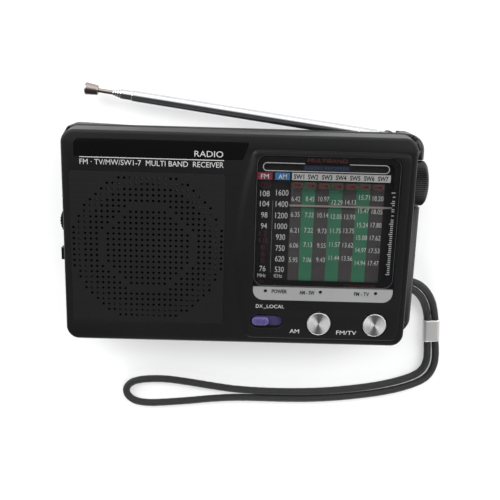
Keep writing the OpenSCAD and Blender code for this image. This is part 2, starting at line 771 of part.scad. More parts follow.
module power_jack() {
    color("#202022") translate([0, dc_y, jack_z]) difference() {
        union() {
            rod_x(jack_x - 0.3, jack_x + wall + 2, 4);
            translate([jack_x + wall + 1.9, -4.6, side_top - jack_z]) cube([10, 9.2, jack_z - side_top + 4.6]);
        }
        difference() {
            rod_x(jack_x - 1, jack_x + wall + 9, 2.8);
            rod_x(jack_x + 1, jack_x + wall + 10, 1);
        }
    }
}

// ---- battery ----

module battery_cells() {
    for (i = [0, 1]) {
        y = bat_y0 + 0.5 + bat_pitch * (i + 0.5);
        flip = i == 0 ? 0 : 1;
        color("#b58a3c") translate([bat_x0 + (flip ? 2 : 6), y, bat_z0 + 0.3 + cell_d / 2]) {
            rod_x(flip ? 0 : 0.6, flip ? cell_len - 1 : cell_len - 1, cell_d / 2);
            if (flip) rod_x(-1, 0.1, 2.7);
            else rod_x(cell_len - 1.1, cell_len, 2.7);
        }
    }
}

module battery_contacts() {
    z = bat_z0 + 0.3 + cell_d / 2;
    color("#d0d2d4") for (i = [0, 1]) {
        y = bat_y0 + 0.5 + bat_pitch * (i + 0.5);
        sx = i == 0 ? bat_x0 : bat_x0 + bat_len;
        d = i == 0 ? 1 : -1;
        // plate and cone of the spring
        translate([sx + d * 0.25, y, z]) cube([0.5, 11, 11], center = true);
        translate([sx + d * 0.4, y, z]) rotate([0, d * 90, 0])
            cylinder(i == 0 ? 6.1 : bat_len - cell_len - 1.5, 4.4, 2.6);
        px = i == 0 ? bat_x0 + bat_len - 0.25 : bat_x0 + 0.25;
        translate([px, y, z]) cube([0.5, 9, 9], center = true);
    }
}

module battery_door() {
    color("#19191b") difference() {
        union() {
            block(door_x0, -half_h + 1.6, 0, door_w, half_h - 1.6 + door_y1, door_t / 2 + 0.1);
            block(door_x0 - door_lip, -half_h + 1.6, door_t / 2 + 0.1, door_w + 2 * door_lip,
                half_h - 1.6 + door_y1, door_t / 2 - 0.1);
        }
        for (k = [0 : 5])
            block(door_x0 + door_w / 2 - 9 + k, -half_h + 6 + 2 * k, -1, 18 - 2 * k, 0.9, 1.3);
    }
}

// ---- fasteners ----

module case_screws() {
    color("#a7aaae") for (p = case_screws) translate([p[0], p[1], 0]) difference() {
        union() {
            translate([0, 0, 5]) cylinder(split_z + 4, screw_r, screw_r);
            translate([0, 0, 3]) cylinder(2, 2.7, 2.7);
        }
        translate([-1.8, -0.35, 2]) cube([3.6, 0.7, 1.7]);
        translate([-0.35, -1.8, 2]) cube([0.7, 3.6, 1.7]);
    }
}

module board_screws() {
    color("#a7aaae") for (p = board_posts) translate([p[0], p[1], 0]) {
        translate([0, 0, wall + 2]) cylinder(board_top - wall - 2, 0.8, 0.8);
        translate([0, 0, board_top]) cylinder(1.1, 2, 2);
    }
}

// ---- antenna ----

module antenna_bracket() {
    y = slot_floor - 1.5 - wall - 1.3;
    color("#c8cacc") difference() {
        block(piv[0] - 7, y, 3.2, 11.4, 1.2, 12.6);
        translate([piv[0], 0, piv[2]]) rod_y(y - 1, y + 3, 2 + run);
    }
}

module antenna_base() {
    y0 = slot_floor - 1.5;
    color("#9a958e") translate([piv[0], 0, piv[2]]) {
        difference() {
            union() {
                rod_y(y0 - wall - 3.6, y0 + 0.1, 2);
                rod_y(y0 + 0.1, y0 + 1.2, 4.4);
                intersection() {
                    translate([-3.6, y0 + 1.1, -3.4]) cube([7.2, piv[1] + 3.4 - y0 - 1.1, 6.8]);
                    rod_y(y0, piv[1] + 4, 4.4);
                    union() {
                        translate([0, piv[1], -5]) cylinder(10, 3.4, 3.4);
                        translate([-3.4, y0, -5]) cube([6.8, piv[1] - y0, 10]);
                    }
                }
            }
            translate([-5, y0 + 1.3, -1.5]) cube([10, 12, 3]);
            translate([0, piv[1], -5]) cylinder(10, 0.85, 0.85);
        }
        // washer and nut under the bracket
        rod_y(y0 - wall - 4.4, y0 - wall - 1.6, 3.4);
    }
}

module hinge_pin() {
    color("#7d7f82") translate([piv[0], piv[1], piv[2] - 3.8]) {
        cylinder(7.6, 0.8, 0.8);
        cylinder(0.35, 1.5, 1.5);
        translate([0, 0, 7.25]) cylinder(0.35, 1.5, 1.5);
    }
}

// along the antenna: x = 0 at the pivot, running to the tip
module on_antenna() {
    translate(piv) rotate([0, 0, 180 - antenna_rest]) children();
}

function tube_d(k) = antenna_d - k * tube_step;
function tube_end(k) = antenna_len + tang_len + (k == 0 ? 0 : tube_first_out + (k - 1) * tube_out);

module tube(k) {
    r = tube_d(k) / 2;
    x0 = tang_len + 4 + 2 * k;
    difference() {
        rod_x(x0, tube_end(k), r);
        rod_x(x0 + 0.6, tube_end(k) + 1, r - tube_w);
    }
}

module antenna_tube_1() {
    color("#cfd2d6") on_antenna() {
        tube(0);
        rod_x(tang_len - 2.4, tang_len + 4.1, antenna_d / 2);
        difference() {
            rod_x(tang_len + 7, tang_len + 8, antenna_d / 2 + 0.25);
            rod_x(tang_len + 6, tang_len + 9, antenna_d / 2 - 0.1);
        }
        difference() {
            union() {
                translate([0, 0, -1.35]) cylinder(2.7, 2.6, 2.6);
                translate([0, -2.2, -1.35]) cube([tang_len - 2.3, 4.4, 2.7]);
            }
            translate([0, 0, -3]) cylinder(6, 0.88, 0.88);
        }
    }
}

module antenna_tube_2() { color("#c3c6ca") on_antenna() tube(1); }
module antenna_tube_3() { color("#cfd2d6") on_antenna() tube(2); }
module antenna_tube_4() { color("#c3c6ca") on_antenna() tube(3); }
module antenna_tube_5() { color("#cfd2d6") on_antenna() tube(4); }

rod_end = tube_end(4) + 13.1;

module antenna_rod() {
    color("#8f8a80") on_antenna() rod_x(tang_len + 14, rod_end, tube_d(5) / 2);
}

module antenna_tip() {
    color("#6b5f57") on_antenna() difference() {
        translate([rod_end - 5, 0, 0]) rotate([0, 90, 0]) {
            cylinder(tip_len - 1, 2.7, 3.4);
            translate([0, 0, tip_len - 1]) cylinder(0.6, 3.4, 3);
            translate([0, 0, tip_len - 0.4]) cylinder(0.4, 3, 1.8);
        }
        rod_x(rod_end - 6, rod_end + 0.02, tube_d(5) / 2 + 0.02);
    }
}

// ---- strap ----

module strap_anchor() {
    x0 = loop_x + 1.9;
    x1 = rear_half_w - wall - 1.9;
    color("#2a2a2c") difference() {
        block(x0, strap_ys[1] - 3.3, wall, x1 - x0, strap_ys[0] - strap_ys[1] + 6.6, strap_z + 3.4 - wall);
        for (y = strap_ys)
            translate([0, y, strap_z]) rod_x(x0 + 0.9, x1 + 1, strap_d / 2 + 0.15);
    }
}

// ring of points round one station of a path
function unit(v) = v / norm(v);
function along(p, i) = unit(p[min(i + 1, len(p) - 1)] - p[max(i - 1, 0)]);
function ring(p, i, r, n) =
    let (t = along(p, i), a = unit(cross(t, [0, 0, 1])), b = cross(a, t))
    [for (k = [0 : n - 1]) p[i] + r * (cos(360 * (k + 0.5) / n) * a + sin(360 * (k + 0.5) / n) * b)];

module sweep_tube(p, r, n) {
    m = len(p);
    polyhedron(
        points = [for (i = [0 : m - 1]) each ring(p, i, r, n)],
        faces = concat(
            [[for (k = [0 : n - 1]) k]],
            [[for (k = [0 : n - 1]) m * n - 1 - k]],
            [for (i = [0 : m - 2], k = [0 : n - 1], h = [0, 1]) h == 0
                ? [i * n + k, (i + 1) * n + k, i * n + (k + 1) % n]
                : [i * n + (k + 1) % n, (i + 1) * n + k, (i + 1) * n + (k + 1) % n]]
        ),
        convexity = 8
    );
}

module strap_cord() {
    color("#1b1b1b") sweep_tube(strap_pts, strap_d / 2, 8);
}

module strap_clamp() {
    color("#d8dadd") translate([clamp_c[0], clamp_c[1], 2.7]) rotate([90, 0, 90 - 90 + clamp_turn])
        translate([0, 0, -clamp_len / 2]) linear_extrude(clamp_len) difference() {
            round_rect(clamp_w + 0.4, clamp_h, clamp_h / 2 - 0.05);
            for (s = [-1, 1]) translate([s * 2.4, 0]) circle(strap_d / 2 + 0.05);
            square([4.8, strap_d - 1], center = true);
        }
}

front_case();
rear_case();
speaker_grille();
dial_lens();
indicator_bar();
dial_scale();
led_board();
indicator_leds();
speaker_frame();
speaker_magnet();
speaker_cone();
speaker_clamps();
circuit_board();
tuning_capacitor();
if_transformers();
chips();
electrolytics();
ferrite_rod();
ferrite_coils();
ferrite_holders();
tuning_knob();
tuning_drum();
front_pulley();
rear_pulley();
pulley_pins();
dial_cord();
pointer_rail();
dial_pointer();
volume_wheel();
volume_pot();
side_board();
band_switch();
band_knob();
dx_switch();
dx_knob();
push_switches();
am_button();
fm_button();
headphone_jack();
power_jack();
battery_cells();
battery_contacts();
battery_door();
case_screws();
board_screws();
antenna_bracket();
antenna_base();
hinge_pin();
antenna_tube_1();
antenna_tube_2();
antenna_tube_3();
antenna_tube_4();
antenna_tube_5();
antenna_rod();
antenna_tip();
strap_anchor();
strap_cord();
strap_clamp();
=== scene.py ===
import math

import bmesh
import bpy
import numpy as np
from mathutils import Matrix, Vector


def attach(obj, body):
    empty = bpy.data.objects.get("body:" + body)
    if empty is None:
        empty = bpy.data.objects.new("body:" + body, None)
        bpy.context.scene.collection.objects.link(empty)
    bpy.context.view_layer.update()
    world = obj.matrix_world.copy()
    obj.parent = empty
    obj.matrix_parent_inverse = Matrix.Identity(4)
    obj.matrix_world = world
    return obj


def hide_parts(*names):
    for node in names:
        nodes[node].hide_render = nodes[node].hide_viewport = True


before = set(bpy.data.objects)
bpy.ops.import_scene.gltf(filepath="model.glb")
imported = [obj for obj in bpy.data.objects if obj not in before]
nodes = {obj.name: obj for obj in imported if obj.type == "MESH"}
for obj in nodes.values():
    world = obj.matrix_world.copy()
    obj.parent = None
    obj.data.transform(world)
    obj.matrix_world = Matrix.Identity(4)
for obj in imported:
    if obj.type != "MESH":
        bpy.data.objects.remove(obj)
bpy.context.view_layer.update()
mm = 0.001
eye = (2.0, 95.2, 425.1)
print("frame loaded:", len(nodes), "nodes")

# sizes shared by several pieces, in millimetres
case = {
    "faceW": 184.6, "caseH": 114.0, "faceZ": 42.0, "splitZ": 24.0, "wall": 2.2, "draft": 1.2, "corner": 7.0,
    "podZ": 43.2, "lensX": 46.5, "lensTop": 46.4, "lensW": 75.2, "lensH": 70.7, "barH": 7.2, "lensT": 1.5,
    "lensR": 5.4, "buttonY": -44.6, "buttonXs": (45.1, 75.5), "buttonR": 6.3, "slot": (16.8, -43.9, 17.3, 8.2),
    "speaker": (-47.6, -5.0), "panel": 81.4, "pitch": 3.0, "scaleZ": 36.6,
}


def makeCamera():
    data = bpy.data.cameras.new("camera")
    data.sensor_width = 36
    data.lens = 53.643
    data.clip_start = 0.01
    camera = bpy.data.objects.new("camera", data)
    bpy.context.scene.collection.objects.link(camera)
    right = Vector((0.999579, 0.028592, 0.004793))
    up = Vector((-0.026463, 0.967367, -0.251972))
    back = Vector((-0.011841, 0.25174, 0.967717))
    turn = Matrix((right, up, back)).transposed().to_4x4()
    camera.matrix_world = Matrix.Translation([mm * v for v in eye]) @ turn
    bpy.context.scene.camera = camera


makeCamera()


# puts a finished mesh into the scene: one material, smooth faces with sharp edges kept, riding on a body
def finishPiece(name, mesh, material, body, sharp=32, replaced=()):
    mesh.materials.clear()
    mesh.materials.append(material)
    mesh.polygons.foreach_set("use_smooth", np.ones(len(mesh.polygons), bool))
    mesh.set_sharp_from_angle(angle=math.radians(sharp))
    piece = bpy.data.objects.new(name, mesh)
    bpy.context.scene.collection.objects.link(piece)
    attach(piece, body)
    if replaced:
        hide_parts(*replaced)
    return piece


# a grid of points, rows by columns, in millimetres, joined by quads; closed columns make a tube, closed rows a ring
def gridMesh(name, grid, closeCols=True, closeRows=False, caps=False, flip=False, uv=None):
    rows, cols = grid.shape[:2]
    index = np.arange(rows * cols).reshape(rows, cols)
    across = np.concatenate([index, index[:, :1]], 1) if closeCols else index
    down = np.concatenate([across, across[:1]], 0) if closeRows else across
    quads = np.stack([down[:-1, :-1], down[:-1, 1:], down[1:, 1:], down[1:, :-1]], -1).reshape(-1, 4)
    faces = quads[:, ::-1].tolist() if flip else quads.tolist()
    if caps:
        first, last = index[0].tolist(), index[-1].tolist()
        faces += [first, last[::-1]] if flip else [first[::-1], last]
    mesh = bpy.data.meshes.new(name)
    mesh.from_pydata((grid.reshape(-1, 3) * mm).tolist(), [], faces)
    if uv is not None:
        layer = mesh.uv_layers.new(name="UVMap")
        loops = np.zeros(len(mesh.loops), np.int32)
        mesh.loops.foreach_get("vertex_index", loops)
        values = uv.reshape(-1, 2)[loops]
        # the last column of quads closes the turn, so its far side reads one full turn on
        if closeCols:
            n = len(quads) * 4
            corner = values[:n].reshape(-1, 4, 2)
            wrap = (corner[..., 0].max(1) - corner[..., 0].min(1)) > 0.5 * np.ptp(uv[..., 0])
            step = uv[0, 1, 0] - uv[0, 0, 0]
            low = corner[..., 0] < uv[0, 0, 0] + 0.5 * step
            corner[..., 0] += np.where(wrap[:, None] & low, np.ptp(uv[..., 0]) + step, 0)
            values[:n] = corner.reshape(-1, 2)
        layer.data.foreach_set("uv", values.ravel().astype(np.float32))
    mesh.update()
    return mesh


def turnOutward(mesh):
    work = bmesh.new()
    work.from_mesh(mesh)
    bmesh.ops.recalc_face_normals(work, faces=work.faces)
    work.to_mesh(mesh)
    work.free()


# joins several meshes into one, by stacking their points and shifting their faces
def joinMeshes(name, meshes):
    work = bmesh.new()
    for mesh in meshes:
        work.from_mesh(mesh)
        bpy.data.meshes.remove(mesh)
    joined = bpy.data.meshes.new(name)
    work.to_mesh(joined)
    work.free()
    return joined


# outlines, as arrays of x, y running anticlockwise
def roundRect(w, h, r, cx=0.0, cy=0.0, n=14):
    turn = np.linspace(0, math.pi / 2, n)
    arcs = [
        np.stack([sx * (w / 2 - r) + r * np.cos(turn + a), sy * (h / 2 - r) + r * np.sin(turn + a)], -1)
        for sx, sy, a in ((1, 1, 0), (-1, 1, math.pi / 2), (-1, -1, math.pi), (1, -1, 1.5 * math.pi))
    ]
    return np.concatenate(arcs) + (cx, cy)


def circle(cx, cy, r, n=48):
    turn = np.linspace(0, 2 * math.pi, n, endpoint=False)
    return np.stack([cx + r * np.cos(turn), cy + r * np.sin(turn)], -1)


def box2(x0, y0, x1, y1):
    return np.array([[x0, y0], [x1, y0], [x1, y1], [x0, y1]], float)


# evenly spaced points along a closed outline, with its corners eased over a length
def eased(outline, spacing, ease):
    closed = np.vstack([outline, outline[:1]])
    run = np.concatenate([[0], np.cumsum(np.linalg.norm(np.diff(closed, axis=0), axis=1))])
    count = int(run[-1] / spacing)
    at = np.linspace(0, run[-1], count, endpoint=False)
    even = np.stack([np.interp(at, run, closed[:, k]) for k in (0, 1)], -1)
    half = max(1, int(ease / spacing))
    weights = np.hanning(2 * half + 3)[1:-1]
    weights /= weights.sum()
    return sum(w * np.roll(even, half - k, axis=0) for k, w in enumerate(weights))


def inwardNormals(outline):
    along = np.roll(outline, -1, 0) - np.roll(outline, 1, 0)
    along /= np.linalg.norm(along, axis=1, keepdims=True)
    return np.stack([-along[:, 1], along[:, 0]], -1)


# a flat plate with holes and fine rounded edges: a filled flat curve, raised, and moved into place as a mesh
def plateMesh(name, outlines, low, high, bevel=0.0):
    curve = bpy.data.curves.new(name, "CURVE")
    curve.dimensions = "2D"
    curve.fill_mode = "BOTH"
    curve.extrude = (high - low) / 2 - bevel
    curve.bevel_depth = bevel
    curve.bevel_resolution = 2
    curve.offset = -bevel
    for outline in outlines:
        spline = curve.splines.new("POLY")
        spline.points.add(len(outline) - 1)
        flat = np.column_stack([outline, np.zeros(len(outline)), np.ones(len(outline))])
        spline.points.foreach_set("co", flat.ravel().astype(np.float32))
        spline.use_cyclic_u = True
    holder = bpy.data.objects.new(name, curve)
    mesh = bpy.data.meshes.new_from_object(holder)
    bpy.data.objects.remove(holder)
    bpy.data.curves.remove(curve)
    mesh.transform(Matrix.Scale(mm, 4) @ Matrix.Translation((0, 0, (low + high) / 2)))
    work = bmesh.new()
    work.from_mesh(mesh)
    bmesh.ops.remove_doubles(work, verts=work.verts, dist=1e-7)
    bmesh.ops.recalc_face_normals(work, faces=work.faces)
    work.to_mesh(mesh)
    work.free()
    return mesh


# flat printed shapes, facing +Z
def printMesh(name, outlines, z):
    mesh = plateMesh(name, outlines, z - 0.01, z + 0.01)
    work = bmesh.new()
    work.from_mesh(mesh)
    low = [f for f in work.faces if f.normal.z < 0.5]
    bmesh.ops.delete(work, geom=low, context="FACES")
    work.to_mesh(mesh)
    work.free()
    return mesh


# words as a flat mesh that fills a box given by its centre, width and height
def wordsMesh(words, centre, width, height, z, bold=0.0):
    curve = bpy.data.curves.new("words", "FONT")
    curve.body = words
    curve.size = 10
    curve.offset = bold
    curve.resolution_u = 3
    holder = bpy.data.objects.new("words", curve)
    mesh = bpy.data.meshes.new_from_object(holder)
    bpy.data.objects.remove(holder)
    bpy.data.curves.remove(curve)
    count = len(mesh.vertices)
    co = np.zeros(count * 3, np.float32)
    mesh.vertices.foreach_get("co", co)
    co = co.reshape(-1, 3).astype(float)
    low, high = co.min(0), co.max(0)
    size = np.maximum(high - low, 1e-6)
    co[:, 0] = ((co[:, 0] - low[0]) / size[0] - 0.5) * width + centre[0]
    co[:, 1] = ((co[:, 1] - low[1]) / size[1] - 0.5) * height + centre[1]
    co[:, 2] = z
    mesh.vertices.foreach_set("co", (co * mm).ravel())
    return mesh


# a smooth line through given points, sampled evenly: centripetal Catmull-Rom by cubic blending
def smoothLine(points, spacing):
    p = np.array(points, float)
    p = np.vstack([2 * p[0] - p[1], p, 2 * p[-1] - p[-2]])
    t = np.linspace(0, 1, 24, endpoint=False)[:, None]
    a, b, c, d = p[:-3, None], p[1:-2, None], p[2:-1, None], p[3:, None]
    blend = 0.5 * (2 * b + (c - a) * t + (2 * a - 5 * b + 4 * c - d) * t**2 + (3 * b - a - 3 * c + d) * t**3)
    line = np.vstack([blend.reshape(-1, 3), p[-2]])
    run = np.concatenate([[0], np.cumsum(np.linalg.norm(np.diff(line, axis=0), axis=1))])
    at = np.linspace(0, run[-1], int(run[-1] / spacing) + 1)
    return np.stack([np.interp(at, run, line[:, k]) for k in range(3)], -1), run[-1]


# the two directions across a line at each of its points, kept level so that the tube never twists
def acrossLine(line):
    along = np.gradient(line, axis=0)
    along /= np.linalg.norm(along, axis=1, keepdims=True)
    side = np.cross(along, (0, 0, 1.0))
    side /= np.linalg.norm(side, axis=1, keepdims=True)
    return side, np.cross(side, along)


def newGroup(name, inputs, outputs):
    group = bpy.data.node_groups.new(name, "ShaderNodeTree")
    for label, kind, value in inputs:
        socket = group.interface.new_socket(label, in_out="INPUT", socket_type=kind)
        socket.default_value = value
    for label, kind in outputs:
        group.interface.new_socket(label, in_out="OUTPUT", socket_type=kind)
    start = group.nodes.new("NodeGroupInput")
    end = group.nodes.new("NodeGroupOutput")
    return group, start, end


def addMath(tree, operation, a, b=None, c=None, clamp=False):
    node = tree.nodes.new("ShaderNodeMath")
    node.operation = operation
    node.use_clamp = clamp
    for k, value in enumerate((a, b, c)):
        if value is None:
            continue
        if isinstance(value, (int, float)):
            node.inputs[k].default_value = value
        else:
            tree.links.new(value, node.inputs[k])
    return node.outputs[0]


def addLength(tree, a, b):
    squares = [addMath(tree, "POWER", addMath(tree, "ABSOLUTE", value), 2.0) for value in (a, b)]
    return addMath(tree, "SQRT", addMath(tree, "ADD", *squares))


def addNoise(tree, vector, scale, detail=3.0, rough=0.5):
    noise = tree.nodes.new("ShaderNodeTexNoise")
    noise.inputs["Detail"].default_value = detail
    noise.inputs["Roughness"].default_value = rough
    tree.links.new(vector, noise.inputs["Vector"])
    if isinstance(scale, (int, float)):
        noise.inputs["Scale"].default_value = scale
    else:
        tree.links.new(scale, noise.inputs["Scale"])
    return noise.outputs["Fac"]


# moulded plastic: a fine grain, slow changes of tone, and faint dust and rubbing
def makeMouldedGroup():
    group, start, end = newGroup(
        "mouldedSkin",
        [("Colour", "NodeSocketColor", (0.01, 0.01, 0.01, 1)), ("Roughness", "NodeSocketFloat", 0.45),
         ("Grain", "NodeSocketFloat", 2500.0), ("Depth", "NodeSocketFloat", 0.3), ("Dust", "NodeSocketFloat", 0.25)],
        [("Colour", "NodeSocketColor"), ("Roughness", "NodeSocketFloat"), ("Normal", "NodeSocketVector")],
    )
    place = group.nodes.new("ShaderNodeTexCoord").outputs["Object"]
    grain = addNoise(group, place, start.outputs["Grain"], 2.0)
    slow = addNoise(group, place, 14.0, 3.0)
    speck = addNoise(group, place, 900.0, 2.0, 0.7)
    dust = addMath(group, "MULTIPLY", addMath(group, "SUBTRACT", speck, 0.62, clamp=True), 4.0, clamp=True)
    dust = addMath(group, "MULTIPLY", dust, start.outputs["Dust"])
    tone = group.nodes.new("ShaderNodeHueSaturation")
    group.links.new(start.outputs["Colour"], tone.inputs["Color"])
    group.links.new(addMath(group, "MULTIPLY_ADD", slow, 0.5, 0.75), tone.inputs["Value"])
    mix = group.nodes.new("ShaderNodeMix")
    mix.data_type = "RGBA"
    group.links.new(dust, mix.inputs[0])
    group.links.new(tone.outputs[0], mix.inputs[6])
    mix.inputs[7].default_value = (0.12, 0.12, 0.115, 1)
    group.links.new(mix.outputs[2], end.inputs["Colour"])
    rough = addMath(group, "MULTIPLY_ADD", addMath(group, "SUBTRACT", slow, 0.5), 0.14, start.outputs["Roughness"])
    group.links.new(addMath(group, "ADD", rough, addMath(group, "MULTIPLY", dust, 0.3)), end.inputs["Roughness"])
    bump = group.nodes.new("ShaderNodeBump")
    bump.inputs["Distance"].default_value = 0.00004
    group.links.new(start.outputs["Depth"], bump.inputs["Strength"])
    group.links.new(grain, bump.inputs["Height"])
    group.links.new(bump.outputs[0], end.inputs["Normal"])
    return group


# metal: long fine scratches along X, small pits and a slow change of gloss
def makeMetalGroup():
    group, start, end = newGroup(
        "drawnMetal",
        [("Colour", "NodeSocketColor", (0.6, 0.6, 0.6, 1)), ("Roughness", "NodeSocketFloat", 0.2),
         ("Scratch", "NodeSocketFloat", 0.2)],
        [("Colour", "NodeSocketColor"), ("Roughness", "NodeSocketFloat"), ("Normal", "NodeSocketVector")],
    )
    place = group.nodes.new("ShaderNodeTexCoord").outputs["Object"]
    stretch = group.nodes.new("ShaderNodeMapping")
    stretch.inputs["Scale"].default_value = (0.04, 1, 1)
    group.links.new(place, stretch.inputs["Vector"])
    lines = addNoise(group, stretch.outputs[0], 5000.0, 2.0)
    slow = addNoise(group, place, 60.0, 3.0)
    tone = group.nodes.new("ShaderNodeHueSaturation")
    group.links.new(start.outputs["Colour"], tone.inputs["Color"])
    group.links.new(addMath(group, "MULTIPLY_ADD", slow, 0.2, 0.9), tone.inputs["Value"])
    group.links.new(tone.outputs[0], end.inputs["Colour"])
    rough = addMath(group, "MULTIPLY_ADD", addMath(group, "SUBTRACT", slow, 0.5), 0.12, start.outputs["Roughness"])
    rough = addMath(group, "MULTIPLY_ADD", addMath(group, "SUBTRACT", lines, 0.5), 0.1, rough)
    group.links.new(rough, end.inputs["Roughness"])
    bump = group.nodes.new("ShaderNodeBump")
    bump.inputs["Distance"].default_value = 0.00001
    group.links.new(start.outputs["Scratch"], bump.inputs["Strength"])
    group.links.new(lines, bump.inputs["Height"])
    group.links.new(bump.outputs[0], end.inputs["Normal"])
    return group


# round holes on the grille's grid: 1 inside a hole, 0 between holes and within the open round of real holes
def makeDimpleGroup():
    group, start, end = newGroup(
        "grilleDimples", [("Radius", "NodeSocketFloat", 0.65)],
        [("Mask", "NodeSocketFloat")],
    )
    place = group.nodes.new("ShaderNodeTexCoord").outputs["Object"]
    split = group.nodes.new("ShaderNodeSeparateXYZ")
    group.links.new(place, split.inputs[0])
    far = []
    for axis, centre, shift in ((0, case["speaker"][0], 0.5), (1, case["speaker"][1], 0.0)):
        cell = addMath(group, "MULTIPLY_ADD", split.outputs[axis], 1000 / case["pitch"], shift - centre / case["pitch"])
        part = addMath(group, "SUBTRACT", addMath(group, "FRACT", cell), 0.5)
        far.append(addMath(group, "MULTIPLY", part, case["pitch"]))
    reach = addLength(group, *far)
    inside = addMath(group, "SUBTRACT", start.outputs["Radius"], reach)
    mask = addMath(group, "MULTIPLY", inside, 5.0, clamp=True)
    sx = addMath(group, "MULTIPLY_ADD", split.outputs[0], 1000.0, -case["speaker"][0])
    sy = addMath(group, "MULTIPLY_ADD", split.outputs[1], 1000.0, -case["speaker"][1])
    out = addLength(group, sx, sy)
    outside = addMath(group, "GREATER_THAN", out, 13.75 * case["pitch"])
    group.links.new(addMath(group, "MULTIPLY", mask, outside), end.inputs["Mask"])
    return group


# braided cover of a cord, read from its UV map: u once round, v in turns of the braid; its colour is painted darker in
# the gaps between the strands, as painted shade
def makeBraidGroup():
    group, start, end = newGroup(
        "braid",
        [("Colour", "NodeSocketColor", (0.012, 0.012, 0.012, 1)), ("Strands", "NodeSocketFloat", 8.0)],
        [("Colour", "NodeSocketColor"), ("Height", "NodeSocketFloat"), ("Roughness", "NodeSocketFloat")],
    )
    uv = group.nodes.new("ShaderNodeTexCoord").outputs["UV"]
    split = group.nodes.new("ShaderNodeSeparateXYZ")
    group.links.new(uv, split.inputs[0])
    around = addMath(group, "MULTIPLY", split.outputs[0], start.outputs["Strands"])
    strands = []
    for operation in ("ADD", "SUBTRACT"):
        part = addMath(group, "FRACT", addMath(group, operation, around, split.outputs[1]))
        strands.append(addMath(group, "ABSOLUTE", addMath(group, "SUBTRACT", part, 0.5)))
    gap = addMath(group, "MULTIPLY", addMath(group, "MINIMUM", *strands), 2.6)
    weave = addMath(group, "SUBTRACT", 1.0, gap, clamp=True)
    fine = addNoise(group, group.nodes.new("ShaderNodeTexCoord").outputs["Object"], 5200.0, 2.0)
    height = addMath(group, "MULTIPLY_ADD", fine, 0.35, weave)
    group.links.new(height, end.inputs["Height"])
    # painted shade: the colour darkens with the weave's height, so the gaps between strands are painted darker; the
    # fine noise adds a random tone
    tone = group.nodes.new("ShaderNodeHueSaturation")
    group.links.new(start.outputs["Colour"], tone.inputs["Color"])
    group.links.new(addMath(group, "MULTIPLY_ADD", height, 1.1, 0.3), tone.inputs["Value"])
    group.links.new(tone.outputs[0], end.inputs["Colour"])
    group.links.new(addMath(group, "MULTIPLY_ADD", fine, 0.15, 0.55), end.inputs["Roughness"])
    return group


mouldedSkin = makeMouldedGroup()
drawnMetal = makeMetalGroup()
grilleDimples = makeDimpleGroup()
braid = makeBraidGroup()


def newMaterial(name):
    material = bpy.data.materials.new(name)
    material.use_nodes = True
    return material, material.node_tree, material.node_tree.nodes["Principled BSDF"]


def placeGroup(tree, group, values):
    node = tree.nodes.new("ShaderNodeGroup")
    node.node_tree = group
    for label, value in values.items():
        node.inputs[label].default_value = value
    return node


def plastic(name, colour, rough=0.42, grain=2500.0, depth=0.25, dust=0.2, coat=0.0, specular=0.5):
    material, tree, skin = newMaterial(name)
    values = {"Colour": (*colour, 1), "Roughness": rough, "Grain": grain, "Depth": depth, "Dust": dust}
    moulded = placeGroup(tree, mouldedSkin, values)
    tree.links.new(moulded.outputs["Colour"], skin.inputs["Base Color"])
    tree.links.new(moulded.outputs["Roughness"], skin.inputs["Roughness"])
    tree.links.new(moulded.outputs["Normal"], skin.inputs["Normal"])
    skin.inputs["Coat Weight"].default_value = coat
    skin.inputs["Coat Roughness"].default_value = 0.08
    skin.inputs["Specular IOR Level"].default_value = specular
    return material


def metal(name, colour, rough=0.2, scratch=0.2):
    material, tree, skin = newMaterial(name)
    drawn = placeGroup(tree, drawnMetal, {"Colour": (*colour, 1), "Roughness": rough, "Scratch": scratch})
    tree.links.new(drawn.outputs["Colour"], skin.inputs["Base Color"])
    tree.links.new(drawn.outputs["Roughness"], skin.inputs["Roughness"])
    tree.links.new(drawn.outputs["Normal"], skin.inputs["Normal"])
    skin.inputs["Metallic"].default_value = 1.0
    return material


def grillePlastic():
    material = plastic("grillePlastic", (0.008, 0.008, 0.0085), 0.5, 2600.0, 0.3, 0.08, 0.0, 0.17)
    tree = material.node_tree
    skin = tree.nodes["Principled BSDF"]
    dimples = placeGroup(tree, grilleDimples, {"Radius": 0.62})
    bump = tree.nodes.new("ShaderNodeBump")
    bump.invert = True
    bump.inputs["Strength"].default_value = 0.22
    bump.inputs["Distance"].default_value = 0.00025
    tree.links.new(dimples.outputs["Mask"], bump.inputs["Height"])
    moulded = skin.inputs["Normal"].links[0].from_socket
    tree.links.new(moulded, bump.inputs["Normal"])
    tree.links.new(bump.outputs[0], skin.inputs["Normal"])
    return material


def braidCover():
    material, tree, skin = newMaterial("braidCover")
    cover = placeGroup(tree, braid, {"Colour": (0.006, 0.006, 0.006, 1), "Strands": 8.0})
    tree.links.new(cover.outputs["Colour"], skin.inputs["Base Color"])
    tree.links.new(cover.outputs["Roughness"], skin.inputs["Roughness"])
    bump = tree.nodes.new("ShaderNodeBump")
    bump.inputs["Strength"].default_value = 0.5
    bump.inputs["Distance"].default_value = 0.0003
    tree.links.new(cover.outputs["Height"], bump.inputs["Height"])
    tree.links.new(bump.outputs[0], skin.inputs["Normal"])
    skin.inputs["Sheen Weight"].default_value = 0.08
    skin.inputs["Sheen Roughness"].default_value = 0.4
    return material


# tinted window: clear enough to read the scale, with a gloss
def windowGlass():
    material, tree, skin = newMaterial("windowGlass")
    slow = addNoise(tree, tree.nodes.new("ShaderNodeTexCoord").outputs["Object"], 40.0, 2.0)
    tree.links.new(addMath(tree, "MULTIPLY_ADD", slow, 0.04, 0.04), skin.inputs["Roughness"])
    skin.inputs["Base Color"].default_value = (0.006, 0.006, 0.007, 1)
    skin.inputs["Alpha"].default_value = 0.14
    skin.inputs["Specular IOR Level"].default_value = 0.8
    return material


